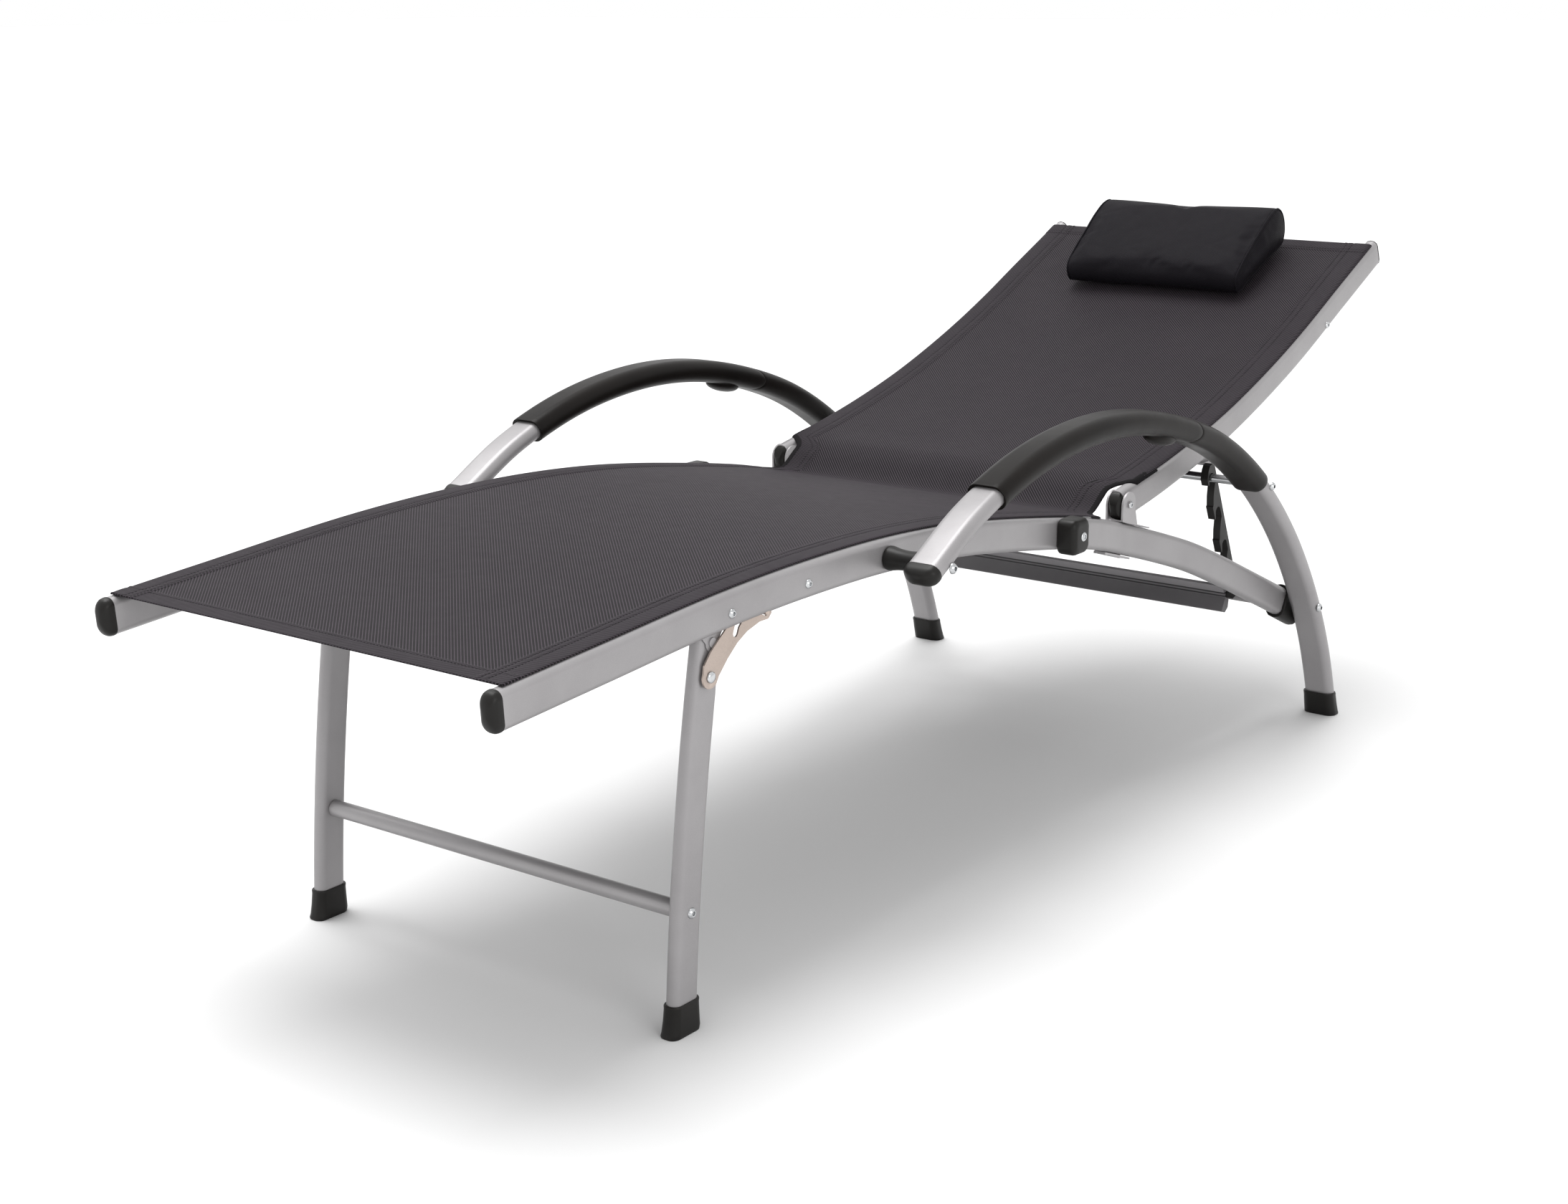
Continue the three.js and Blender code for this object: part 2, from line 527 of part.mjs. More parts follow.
addPair("rack_plate", plateSolid.subtract(plateHole), "silver");
const rackPin = rod(PIN_R, PLATE_X0 - 1, BACK_X - RAIL_W / 2 - GAP, RACK_PIVOT.y, RACK_PIVOT.z, 24)
  .add(rod(6.5, PLATE_X0 - 2.6, PLATE_X0 - 0.4, RACK_PIVOT.y, RACK_PIVOT.z, 20));
addPair("rack_pivot_pin", rackPin, "zinc");

// Grooved grip bar that joins the two racks.
const gripHalf = PLATE_OUT;
const gripSection = [[520, 174.5], [529.5, 192], [517.5, 209.5], [522, 211.5], [531, 207], [540, 186],
  [538, 176], [530, 171]];
let grip = plate(gripSection, -gripHalf, gripHalf);
for (const [y, z] of [[526.5, 193.5], [523.5, 198]]) {
  grip = grip.subtract(rod(1.1, -gripHalf - 1, gripHalf + 1, y, z, 8));
}
add("rack_grip", grip, "graphite");

// ---- Sling, cut at the hinge line, with narrower necks beside the hinges ----
function sheet(rows) {
  return loft(rows.map(({ y, z, half, ny, nz }) => [
    new THREE.Vector3(half, y + ny * CLOTH, z + nz * CLOTH),
    new THREE.Vector3(-half, y + ny * CLOTH, z + nz * CLOTH),
    new THREE.Vector3(-half, y, z),
    new THREE.Vector3(half, y, z),
  ]));
}
function railTop(curve, y, lift) {
  const { point, tangent } = endOf(curve, y);
  const rise = RAIL_H / 2 + lift;
  return { y: point.y - tangent.z * rise, z: point.z + tangent.y * rise, ny: -tangent.z, nz: tangent.y };
}
const seatStations = [-852, -790, -720, -640, -560, -490, -430, -360, -290, -220, -150, -75, 0,
  60, 110, 140, 156];
const seatRows = seatStations.map((y) => ({ ...railTop(seatCurve, y, 0.6), half: SEAT_HALF }));
const neck = [{ t: 0.3, half: 244 }, { t: 0.65, half: 230 }, { t: 1, half: NECK_HALF }];
neck.forEach(({ t, half }) => {
  const row = railTop(seatCurve, 158 + 30 * t, 0.6);
  seatRows.push({ ...row, z: row.z + 6.5 * t * t, half });
});
add("seat_sling", sheet(seatRows), "sling");
const backStations = [262, 300, 350, 420, 500, 580, 660, 740, 820, 880, 934];
const backRows = backStations.map((y) => ({ ...railTop(backCurve, y, 0.6), half: SEAT_HALF - 2 }));
const backNeck = [{ y: 252, half: 244 }, { y: 240, half: 230 }, { y: 228, half: NECK_HALF }];
backNeck.forEach(({ y, half }) => {
  const row = railTop(backCurve, y, 0.6);
  backRows.unshift({ ...row, z: row.z - 0.006 * (262 - y) ** 2, half });
});
add("back_sling", sheet(backRows), "sling");

// ---- Head cushion, wedge shaped, on the upper backrest ----
const CUSHION_HALF = 141;
const cushionBase = railTop(backCurve, 786, 0.6 + CLOTH + 0.5);
const cushionEnd = railTop(backCurve, 914, 0.6 + CLOTH + 0.5);
const baseDirection = new THREE.Vector2(cushionEnd.y - cushionBase.y, cushionEnd.z - cushionBase.z)
  .normalize();
function onCushion(along, up) {
  return [cushionBase.y + baseDirection.x * along - baseDirection.y * up,
    cushionBase.z + baseDirection.y * along + baseDirection.x * up];
}
const cushionSide = [[-10, 2.5], [-17, 13], [-17, 28], [-8, 38], [50, 55], [112, 67], [138, 66], [152, 54],
  [157, 32], [149, 11], [135, 3]];
const CUSHION_CENTRE = { along: 70, up: 33 };
function cushionRing(x, shrink) {
  return cushionSide.map(([along, up]) => {
    const { along: midAlong, up: midUp } = CUSHION_CENTRE;
    const [y, z] = onCushion(midAlong + (along - midAlong) * shrink, midUp + (up - midUp) * shrink);
    return new THREE.Vector3(x, y, z);
  });
}
add("head_cushion", loft([cushionRing(-CUSHION_HALF, 0.86), cushionRing(-CUSHION_HALF + 7, 1),
  cushionRing(CUSHION_HALF - 7, 1), cushionRing(CUSHION_HALF, 0.86)]), "cushion");

// ---- Centre the assembly over the origin ----
const bounds = new THREE.Box3().setFromObject(group);
const middleY = (bounds.min.y + bounds.max.y) / 2;
group.children.forEach((mesh) => mesh.geometry.translate(0, -middleY, -bounds.min.z));

export default group;
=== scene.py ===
import json
import math
import random

import bmesh
import bpy
from mathutils import Matrix, Vector, noise

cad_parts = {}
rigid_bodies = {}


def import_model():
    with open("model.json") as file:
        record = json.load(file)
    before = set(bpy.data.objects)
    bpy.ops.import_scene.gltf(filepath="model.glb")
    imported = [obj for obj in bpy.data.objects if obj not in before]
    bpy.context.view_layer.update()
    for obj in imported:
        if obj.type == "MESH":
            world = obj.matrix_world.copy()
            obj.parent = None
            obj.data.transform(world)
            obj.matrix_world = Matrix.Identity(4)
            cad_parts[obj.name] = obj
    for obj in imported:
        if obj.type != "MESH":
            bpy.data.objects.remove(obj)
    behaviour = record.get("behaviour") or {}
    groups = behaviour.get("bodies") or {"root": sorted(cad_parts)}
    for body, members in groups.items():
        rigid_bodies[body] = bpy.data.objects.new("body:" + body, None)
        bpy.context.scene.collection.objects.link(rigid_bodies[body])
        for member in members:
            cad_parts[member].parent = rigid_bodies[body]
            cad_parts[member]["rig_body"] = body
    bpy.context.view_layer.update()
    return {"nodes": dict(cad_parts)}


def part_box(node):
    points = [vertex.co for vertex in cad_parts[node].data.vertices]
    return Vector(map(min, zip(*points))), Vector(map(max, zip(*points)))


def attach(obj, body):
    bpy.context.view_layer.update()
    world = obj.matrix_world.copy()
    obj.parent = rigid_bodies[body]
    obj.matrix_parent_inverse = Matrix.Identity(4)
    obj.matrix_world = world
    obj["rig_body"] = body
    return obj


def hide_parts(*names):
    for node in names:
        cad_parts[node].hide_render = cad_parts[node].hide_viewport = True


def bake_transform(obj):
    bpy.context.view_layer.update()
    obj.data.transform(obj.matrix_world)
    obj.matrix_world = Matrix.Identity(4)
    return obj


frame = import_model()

# A reclining sun lounger. The profiles are in millimetres in the part's own frame: X across, Y from the foot
# end to the head end, Z up. metres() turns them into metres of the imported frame.

# ---- Places and sections shared by the pieces ----
BAR_Y, BAR_Z = 453.0, 369.0  # axis of the prop bar, which ties the two frames together
bar_low, bar_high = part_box("prop_bar")
SHIFT_Y = BAR_Y / 1000 - (bar_low.y + bar_high.y) / 2
SHIFT_Z = BAR_Z / 1000 - (bar_low.z + bar_high.z) / 2
FLOOR_Z = 4.5
HINGE_Y, HINGE_Z = 227.0, 375.5
SEAT_X, BACK_X, ARM_X, LEG_X = 258.0, 253.0, 325.0, 249.0  # middle planes of the side tubes
RAIL_W, RAIL_H, RAIL_R = 18.0, 38.0, 8.0
ARM_W, ARM_T = 40.0, 20.5
LEG_W, LEG_D = 17, 36
AROUND_ARM = 1.4  # what slips over the arm tube is this much wider
GAP = 0.3  # between pieces that meet face to face
FLARE_START, FLARE_SLOPE = 240.0, 0.0857
SEAT_RAIL_ENDS, BACK_RAIL_ENDS, ARM_END = (-858, 628), (219, 945), 688.6
SIDES = ((1, "l"), (-1, "r"))

# Lines of the tubes in the side view, as (y, z).
SEAT_LINE = [(-862, 395.5), (-720, 405), (-560, 415.5), (-430, 418.7), (-290, 416), (-150, 404.5),
             (0, 382), (150, 353.5), (227, 331.5), (310, 305), (380, 280), (455, 247.5), (520, 217.5),
             (598, 181), (650, 156)]
BACK_LINE = [(200, 370.5), (227, 375.5), (336, 394), (500, 433), (680, 494.5), (830, 559.5), (962, 617.2)]
ARM_LINE = [(-310, 413), (-227, 456), (-119, 490), (-4, 505), (105, 501), (216, 478), (327, 438),
            (431, 376), (523, 296), (596, 207), (650, 115), (685, 25), (691, -1)]


def metres(x, y, z):
    """A point of the profiles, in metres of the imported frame."""
    return Vector((x / 1000, y / 1000 - SHIFT_Y, z / 1000 - SHIFT_Z))


class Line:
    """Centripetal Catmull-Rom line through (y, z) points, sampled evenly by length."""

    def __init__(self, points, samples=60):
        ends = [Vector(points[0]) * 2 - Vector(points[1])]
        ends += [Vector(p) for p in points]
        ends.append(Vector(points[-1]) * 2 - Vector(points[-2]))
        dense = []
        for i in range(1, len(ends) - 2):
            p0, p1, p2, p3 = ends[i - 1:i + 3]
            d0, d1, d2 = (math.sqrt((b - a).length) for a, b in ((p0, p1), (p1, p2), (p2, p3)))
            t1 = ((p1 - p0) / d0 - (p2 - p0) / (d0 + d1) + (p2 - p1) / d1) * d1
            t2 = ((p2 - p1) / d1 - (p3 - p1) / (d1 + d2) + (p3 - p2) / d2) * d1
            for k in range(samples):
                t = k / samples
                c2 = -3 * p1 + 3 * p2 - 2 * t1 - t2
                c3 = 2 * p1 - 2 * p2 + t1 + t2
                dense.append(p1 + t1 * t + c2 * t * t + c3 * t * t * t)
        dense.append(ends[-2])
        self.points = dense
        self.lengths = [0.0]
        for a, b in zip(dense, dense[1:]):
            self.lengths.append(self.lengths[-1] + (b - a).length)

    def at(self, s):
        """Point and direction at a length along the line."""
        s = min(max(s, 0.0), self.lengths[-1])
        low, high = 0, len(self.lengths) - 1
        while high - low > 1:
            middle = (low + high) // 2
            if self.lengths[middle] <= s:
                low = middle
            else:
                high = middle
        span = self.lengths[high] - self.lengths[low]
        w = (s - self.lengths[low]) / span
        p = self.points[low].lerp(self.points[high], w)
        before = self.points[max(low - 1, 0)]
        after = self.points[min(high + 1, len(self.points) - 1)]
        t = (after - before).normalized()
        return p.x, p.y, t.x, t.y

    def s_at(self, y):
        """Length at which the line passes a value of its first coordinate."""
        for i, p in enumerate(self.points[1:], 1):
            if p.x >= y:
                a = self.points[i - 1]
                w = (y - a.x) / (p.x - a.x)
                return self.lengths[i - 1] + w * (self.lengths[i] - self.lengths[i - 1])
        return self.lengths[-1]

    def stations(self, s0, s1, step):
        count = max(2, round((s1 - s0) / step))
        return [self.at(s0 + (s1 - s0) * i / count) for i in range(count + 1)]


seat_line, back_line, arm_line = Line(SEAT_LINE), Line(BACK_LINE), Line(ARM_LINE)


def angles(count):
    return [2 * math.pi * i / count for i in range(count)]


def oval(width, height, radius, steps=8):
    """Outline of a flat-oval section: a rectangle with rounded corners."""
    points = []
    cx, cy = width / 2 - radius, height / 2 - radius
    for quarter, (sx, sy) in enumerate(((1, 1), (-1, 1), (-1, -1), (1, -1))):
        for i in range(steps + 1):
            a = (quarter + i / steps) * math.pi / 2
            points.append((sx * cx + radius * math.cos(a), sy * cy + radius * math.sin(a)))
    kept = [points[0]]
    for p in points[1:]:
        if math.dist(p, kept[-1]) > 0.02 and math.dist(p, kept[0]) > 0.02:
            kept.append(p)
    return kept


def ring(station, outline, x, scale=1.0, along=0.0):
    """A section stood across a line at one of its stations."""
    y, z, ty, tz = station
    y, z = y + ty * along, z + tz * along
    return [(x + px * scale, y - tz * up * scale, z + ty * up * scale) for px, up in outline]


def flare(v):
    """The seat rails spread outward behind FLARE_START."""
    return (v[0] + max(0.0, v[1] - FLARE_START) * FLARE_SLOPE, v[1], v[2])


def skin(rings, loop=False):
    """Surface through rings of equal count, with flat ends unless it loops."""
    n = len(rings[0])
    verts = [v for r in rings for v in r]
    faces = []
    last = len(rings) if loop else len(rings) - 1
    for r in range(last):
        q = (r + 1) % len(rings)
        for i in range(n):
            j = (i + 1) % n
            faces.append((r * n + i, r * n + j, q * n + j, q * n + i))
    if not loop:
        faces.append(tuple(reversed(range(n))))
        faces.append(tuple((len(rings) - 1) * n + i for i in range(n)))
    return verts, faces


def merge(shapes):
    verts, faces = [], []
    for v, f in shapes:
        base = len(verts)
        verts += v
        faces += [tuple(i + base for i in face) for face in f]
    return verts, faces


# ---- Materials ----
def shader(name):
    material = bpy.data.materials.new(name)
    material.use_nodes = True
    tree = material.node_tree
    return material, tree, tree.nodes["Principled BSDF"]


def node(tree, kind, **values):
    """A shader node with its properties and, with _ for a space, its inputs set by name."""
    n = tree.nodes.new(kind)
    for key, value in values.items():
        if hasattr(n, key):
            setattr(n, key, value)
        else:
            n.inputs[key.replace("_", " ")].default_value = value
    return n


def grain(tree, scale, detail, rough):
    coords = node(tree, "ShaderNodeTexCoord")
    n = node(tree, "ShaderNodeTexNoise", Scale=scale, Detail=detail, Roughness=rough)
    tree.links.new(coords.outputs["Object"], n.inputs["Vector"])
    return n.outputs["Fac"]


def ramp(tree, source, stops):
    r = node(tree, "ShaderNodeValToRGB")
    elements = r.color_ramp.elements
    while len(elements) < len(stops):
        elements.new(0.5)
    for element, (place, colour) in zip(elements, stops):
        element.position = place
        element.color = (*colour, 1)
    tree.links.new(source, r.inputs["Fac"])
    return r.outputs["Color"]


def spread(tree, source, low, high):
    m = node(tree, "ShaderNodeMapRange", To_Min=low, To_Max=high)
    tree.links.new(source, m.inputs["Value"])
    return m.outputs["Result"]


def feed(tree, socket, value):
    """Links another node's output to a socket, or sets the socket's own value."""
    if isinstance(value, bpy.types.NodeSocket):
        tree.links.new(value, socket)
    elif isinstance(value, tuple):
        socket.default_value = (*value, 1)
    else:
        socket.default_value = value


def mixed(tree, fac, a, b, blend="MIX"):
    m = node(tree, "ShaderNodeMix", data_type="RGBA", blend_type=blend)
    for index, value in ((0, fac), (6, a), (7, b)):
        feed(tree, m.inputs[index], value)
    return m.outputs[2]


def maths(tree, operation, a, b):
    m = node(tree, "ShaderNodeMath", operation=operation)
    feed(tree, m.inputs[0], a)
    feed(tree, m.inputs[1], b)
    return m.outputs[0]


def bumped(tree, bsdf, height, distance):
    b = node(tree, "ShaderNodeBump", Strength=1.0, Distance=distance)
    tree.links.new(height, b.inputs["Height"])
    tree.links.new(b.outputs["Normal"], bsdf.inputs["Normal"])


def object_axes(tree):
    coords = node(tree, "ShaderNodeTexCoord")
    split = node(tree, "ShaderNodeSeparateXYZ")
    tree.links.new(coords.outputs["Object"], split.inputs[0])
    return split.outputs


def edge_light(tree, colour, tone, amount):
    """Edges rubbed a little brighter, where the surface is convex."""
    geometry = node(tree, "ShaderNodeNewGeometry")
    fac = ramp(tree, geometry.outputs["Pointiness"], [(0.52, (0, 0, 0)), (0.62, (amount,) * 3)])
    return mixed(tree, fac, colour, tone)


def coated(name, dark, light, metallic, rough, fine, bump, edge, specular=0.5):
    """Paint, steel or plastic: two mottled tones, fine specks and bumps, rubbed edges."""
    material, tree, bsdf = shader(name)
    colour = ramp(tree, grain(tree, 9, 4, 0.6), [(0.3, dark), (0.7, light)])
    speck = ramp(tree, grain(tree, fine, 2, 0.7), [(0.35, (0.9, 0.9, 0.9)), (0.65, (1, 1, 1))])
    colour = mixed(tree, 1.0, colour, speck, "MULTIPLY")
    if edge:
        colour = edge_light(tree, colour, tuple(min(1, c * 1.5 + 0.02) for c in light), edge)
    tree.links.new(colour, bsdf.inputs["Base Color"])
    roughness = spread(tree, grain(tree, 40, 3, 0.6), rough - 0.05, rough + 0.07)
    tree.links.new(roughness, bsdf.inputs["Roughness"])
    bsdf.inputs["Metallic"].default_value = metallic
    bsdf.inputs["Specular IOR Level"].default_value = specular
    bumped(tree, bsdf, grain(tree, fine, 2, 0.6), bump)
    return material


silver = coated("silver_powder_coat", (0.29, 0.28, 0.285), (0.335, 0.325, 0.33),
                metallic=0.4, rough=0.38, fine=2200, bump=0.00006, edge=0.25)
zinc = coated("zinc_steel", (0.38, 0.315, 0.275), (0.46, 0.385, 0.34),
              metallic=0.6, rough=0.38, fine=900, bump=0.00004, edge=0.3)
bright = coated("bright_steel", (0.50, 0.51, 0.52), (0.62, 0.63, 0.64),
                metallic=1.0, rough=0.2, fine=700, bump=0.00002, edge=0.2)
plastic = coated("black_plastic", (0.006, 0.0055, 0.005), (0.011, 0.010, 0.009),
                 metallic=0.0, rough=0.36, fine=1500, bump=0.00009, edge=0.1, specular=0.22)
cover_plastic = coated("armrest_plastic", (0.005, 0.004, 0.0036), (0.009, 0.007, 0.006),
                       metallic=0.0, rough=0.36, fine=1100, bump=0.00007, edge=0.06, specular=0.12)
graphite = coated("graphite_plastic", (0.15, 0.143, 0.152), (0.205, 0.195, 0.207),
                  metallic=0.15, rough=0.36, fine=1300, bump=0.00006, edge=0.15)
thread = coated("thread", (0.004, 0.0035, 0.004), (0.009, 0.008, 0.009),
                metallic=0.0, rough=0.8, fine=3000, bump=0.00005, edge=0, specular=0.1)


def twill(tree, u, v, pitch, bead):
    """Rounded diagonal ribs, broken into beads where threads cross."""
    along = maths(tree, "ADD", u, v)
    rib = maths(tree, "PINGPONG", maths(tree, "DIVIDE", along, pitch / 2), 1.0)
    across = maths(tree, "SUBTRACT", u, v)
    beads = maths(tree, "PINGPONG", maths(tree, "DIVIDE", across, bead / 2), 1.0)
    smooth = node(tree, "ShaderNodeMapRange", interpolation_type="SMOOTHSTEP", From_Min=0.48, From_Max=0.95)
    tree.links.new(rib, smooth.inputs["Value"])
    beading = maths(tree, "ADD", maths(tree, "MULTIPLY", beads, 0.45), 0.55)
    return maths(tree, "MULTIPLY", smooth.outputs["Result"], beading)


def sling_axes(tree):
    """Across and along the sling's cloth, from its UV map."""
    uv = node(tree, "ShaderNodeUVMap", uv_map="cloth")
    split = node(tree, "ShaderNodeSeparateXYZ")
    tree.links.new(uv.outputs["UV"], split.inputs[0])
    return split.outputs[0], split.outputs[1]


def cushion_axes(tree):
    """Across the cushion, and round its profile."""
    x, y, z = object_axes(tree)
    return x, maths(tree, "ADD", maths(tree, "MULTIPLY", y, 0.9), maths(tree, "MULTIPLY", z, 0.9))


def woven(name, dark, light, axes, pitch, bead, rough, sheen, height, specular):
    material, tree, bsdf = shader(name)
    u, v = axes(tree)
    ribs = twill(tree, u, v, pitch, bead)
    colour = mixed(tree, ribs, dark, light)
    fade = ramp(tree, grain(tree, 14, 4, 0.65), [(0.3, (0.88, 0.88, 0.9)), (0.7, (1.0, 1.0, 1.0))])
    tree.links.new(mixed(tree, 1.0, colour, fade, "MULTIPLY"), bsdf.inputs["Base Color"])
    roughness = spread(tree, grain(tree, 60, 3, 0.6), rough - 0.06, rough + 0.06)
    tree.links.new(roughness, bsdf.inputs["Roughness"])
    bsdf.inputs["Sheen Weight"].default_value = sheen
    bsdf.inputs["Sheen Roughness"].default_value = 0.5
    bsdf.inputs["Sheen Tint"].default_value = (0.75, 0.68, 0.74, 1)
    bsdf.inputs["Specular IOR Level"].default_value = specular
    bumped(tree, bsdf, ribs, height)
    return material


sling_cloth = woven("sling_twill", (0.004, 0.0033, 0.0042), (0.070, 0.056, 0.069), sling_axes,
                    pitch=0.0040, bead=0.0017, rough=0.62, sheen=0.05, height=0.00025, specular=0.09)
cushion_cloth = woven("cushion_twill", (0.006, 0.0054, 0.0068), (0.019, 0.0165, 0.021), cushion_axes,
                      pitch=0.0026, bead=0.0012, rough=0.55, sheen=0.01, height=0.00018, specular=0.05)

GRIP_BOTTOM, GRIP_TOP = 0.168, 0.208  # metres above the floor
# Painted light and shade up the grip, bottom to top: a dark shaded lower face, painted shade in the two
# grooves, then a lit upper band.
GRIP_LIGHT_AND_SHADE_TONES = ((0.0, 0.12), (0.49, 0.14), (0.51, 0.02), (0.545, 0.02), (0.565, 0.16),
              (0.61, 0.16), (0.63, 0.02), (0.665, 0.02), (0.685, 0.23), (1.0, 0.26))


def painted_grip_shading():
    """Grip plastic with painted light and shade: a lighter lit upper band, painted shade in the two grooves
    and a darker shaded lower face.
    """
    material, tree, bsdf = shader("grip_plastic")
    height = node(tree, "ShaderNodeMapRange", From_Min=GRIP_BOTTOM, From_Max=GRIP_TOP)
    tree.links.new(object_axes(tree)[2], height.inputs["Value"])
    stops = [(place, (tone, tone * 0.96, tone)) for place, tone in GRIP_LIGHT_AND_SHADE_TONES]
    light_and_shade_bands = ramp(tree, height.outputs["Result"], stops)
    mottle = ramp(tree, grain(tree, 18, 4, 0.6), [(0.3, (0.88, 0.88, 0.88)), (0.7, (1, 1, 1))])
    tree.links.new(mixed(tree, 1.0, light_and_shade_bands, mottle, "MULTIPLY"), bsdf.inputs["Base Color"])
    tree.links.new(spread(tree, grain(tree, 40, 3, 0.6), 0.32, 0.42), bsdf.inputs["Roughness"])
    bumped(tree, bsdf, grain(tree, 1300, 2, 0.6), 0.00006)
    return material


grip_painted_shade = painted_grip_shading()
LOOKS = {"silver_powder_coat": silver, "zinc_steel": zinc, "black_plastic": plastic,
         "graphite_plastic": graphite, "sling_fabric": sling_cloth, "cushion_fabric": cushion_cloth}


# ---- Pieces ----
def finish_mesh(mesh, angle):
    """Normals outward, smooth faces, and sharp edges from an angle in degrees."""
    bm = bmesh.new()
    bm.from_mesh(mesh)
    bmesh.ops.recalc_face_normals(bm, faces=bm.faces)
    bm.to_mesh(mesh)
    bm.free()
    shade(mesh, angle)
    mesh.update()


def shade(mesh, angle):
    mesh.polygons.foreach_set("use_smooth", [True] * len(mesh.polygons))
    mesh.set_sharp_from_angle(angle=math.radians(angle))


def add_object(name, verts, faces, angle=None, material=None):
    """An object from points in metres, linked to the scene."""
    mesh = bpy.data.meshes.new(name)
    mesh.from_pydata(verts, [], faces)
    if angle is not None:
        finish_mesh(mesh, angle)
    if material:
        mesh.materials.append(material)
    obj = bpy.data.objects.new(name, mesh)
    bpy.context.scene.collection.objects.link(obj)
    return obj


def piece(name, shape, body, slot, material=None, replaces=(), angle=35):
    """A visible piece, attached to its body when one is given."""
    verts, faces = shape
    obj = add_object(name, [metres(*v) for v in verts], faces, angle, material or LOOKS[slot])
    if body:
        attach(obj, body)
    if replaces:
        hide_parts(*replaces)
    return obj


def bake(obj):
    """Applies an object's modifiers to its mesh."""
    bpy.context.view_layer.update()
    depsgraph = bpy.context.evaluated_depsgraph_get()
    result = bpy.data.meshes.new_from_object(obj.evaluated_get(depsgraph))
    obj.modifiers.clear()
    old = obj.data
    obj.data = result
    bpy.data.meshes.remove(old)


def bevelled(obj, width, segments=2):
    b = obj.modifiers.new("bevel", "BEVEL")
    b.width = width / 1000
    b.segments = segments
    b.limit_method = "ANGLE"
    b.angle_limit = math.radians(35)
    b.harden_normals = True


def cut(obj, shape, operation="DIFFERENCE"):
    """Boolean with a throwaway body, applied at once."""
    verts, faces = shape
    tool = add_object("cutter", [metres(*v) for v in verts], faces, 30)
    m = obj.modifiers.new("cut", "BOOLEAN")
    m.operation = operation
    m.solver = "EXACT"
    m.object = tool
    bake(obj)
    mesh = tool.data
    bpy.data.objects.remove(tool)
    bpy.data.meshes.remove(mesh)
    shade(obj.data, 35)


def prism(outline, x0, x1):
    """(y, z) outline pulled out between two x planes."""
    return skin([[(x0, y, z) for y, z in outline], [(x1, y, z) for y, z in outline]])


def turned(profile, x, y, z, segments=32):
    """(along, radius) profile turned about an axis along X."""
    return skin([[(x + along, y + radius * math.cos(a), z + radius * math.sin(a)) for a in angles(segments)]
                 for along, radius in profile])


def rod(radius, x0, x1, y, z, segments=40, chamfer=0.6):
    return turned([(0, radius - chamfer), (chamfer, radius), (x1 - x0 - chamfer, radius),
                   (x1 - x0, radius - chamfer)], x0, y, z, segments)


def screw(x, y, z, radius, height, socket=0.45):
    """Domed head with a hexagon socket, standing on an X face."""
    segments = 24
    flat = [math.cos(math.pi / 6) / math.cos((a % (math.pi / 3)) - math.pi / 6) for a in angles(segments)]

    def circle(along, r):
        return [(x + along, y + r * math.cos(a), z + r * math.sin(a)) for a in angles(segments)]

    def hexagon(along, r):
        return [(x + along, y + r * k * math.cos(a), z + r * k * math.sin(a))
                for a, k in zip(angles(segments), flat)]

    rings = [circle(0, radius * 0.98)]
    for t in (0.06, 0.3, 0.55, 0.78, 0.93):
        rings.append(circle(height * t, radius * math.sqrt(max(0.05, 1 - (t * 0.86) ** 2))))
    rings.append(circle(height, radius * (socket + 0.12)))
    rings.append(hexagon(height * 0.97, radius * socket))
    rings.append(hexagon(height * 0.35, radius * socket * 0.96))
    return skin(rings)


def polished(name, bevel, segments=2, material=None):
    """A CAD node's shape with its edges rounded and its curved faces smooth."""
    source = frame["nodes"][name]
    bm = bmesh.new()
    bm.from_mesh(source.data)
    bmesh.ops.remove_doubles(bm, verts=bm.verts, dist=2e-6)
    bmesh.ops.dissolve_limit(bm, angle_limit=math.radians(1.0), verts=bm.verts, edges=bm.edges)
    bm.verts.index_update()
    verts = [v.co.copy() for v in bm.verts]
    faces = [[v.index for v in f.verts] for f in bm.faces]
    bm.free()
    slot = source.data.materials[0].name.split(".")[0]
    obj = add_object(name + "_fine", verts, faces, 30, material or LOOKS[slot])
    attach(obj, source["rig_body"])
    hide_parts(name)
    bevelled(obj, bevel, segments)


def mirror(shape, side):
    verts, faces = shape
    return ([(x * side, y, z) for x, y, z in verts], faces)


# ---- Tubes of the frame ----
STAY_SLOT = [(-604, 380), (-428, 380), (-428, 425), (-604, 425)]  # in the side view
rail_oval = oval(RAIL_W, RAIL_H, RAIL_R)
rail_cap_oval = oval(RAIL_W + 1, RAIL_H + 1, RAIL_R + 0.5)
arm_oval = oval(ARM_W, ARM_T, 9.8, 10)
arm_cap_oval = oval(ARM_W + AROUND_ARM, ARM_T + AROUND_ARM, 10.5, 10)


def dome(outline, x, station, lip, rise):
    """End cap in front of a tube's first station: a straight lip, then a dome."""
    rows = [(0.4, 0.97), (0.8, 0.995), (1.4, 1.0), (lip - 0.6, 1.0), (lip, 0.992)]
    for k in range(1, 12):
        a = math.radians(7.6 * k)
        rows.append((lip + rise * math.sin(a), 0.992 * math.cos(a) ** 0.9))
    return skin([ring(station, outline, x, scale, -along) for along, scale in rows])


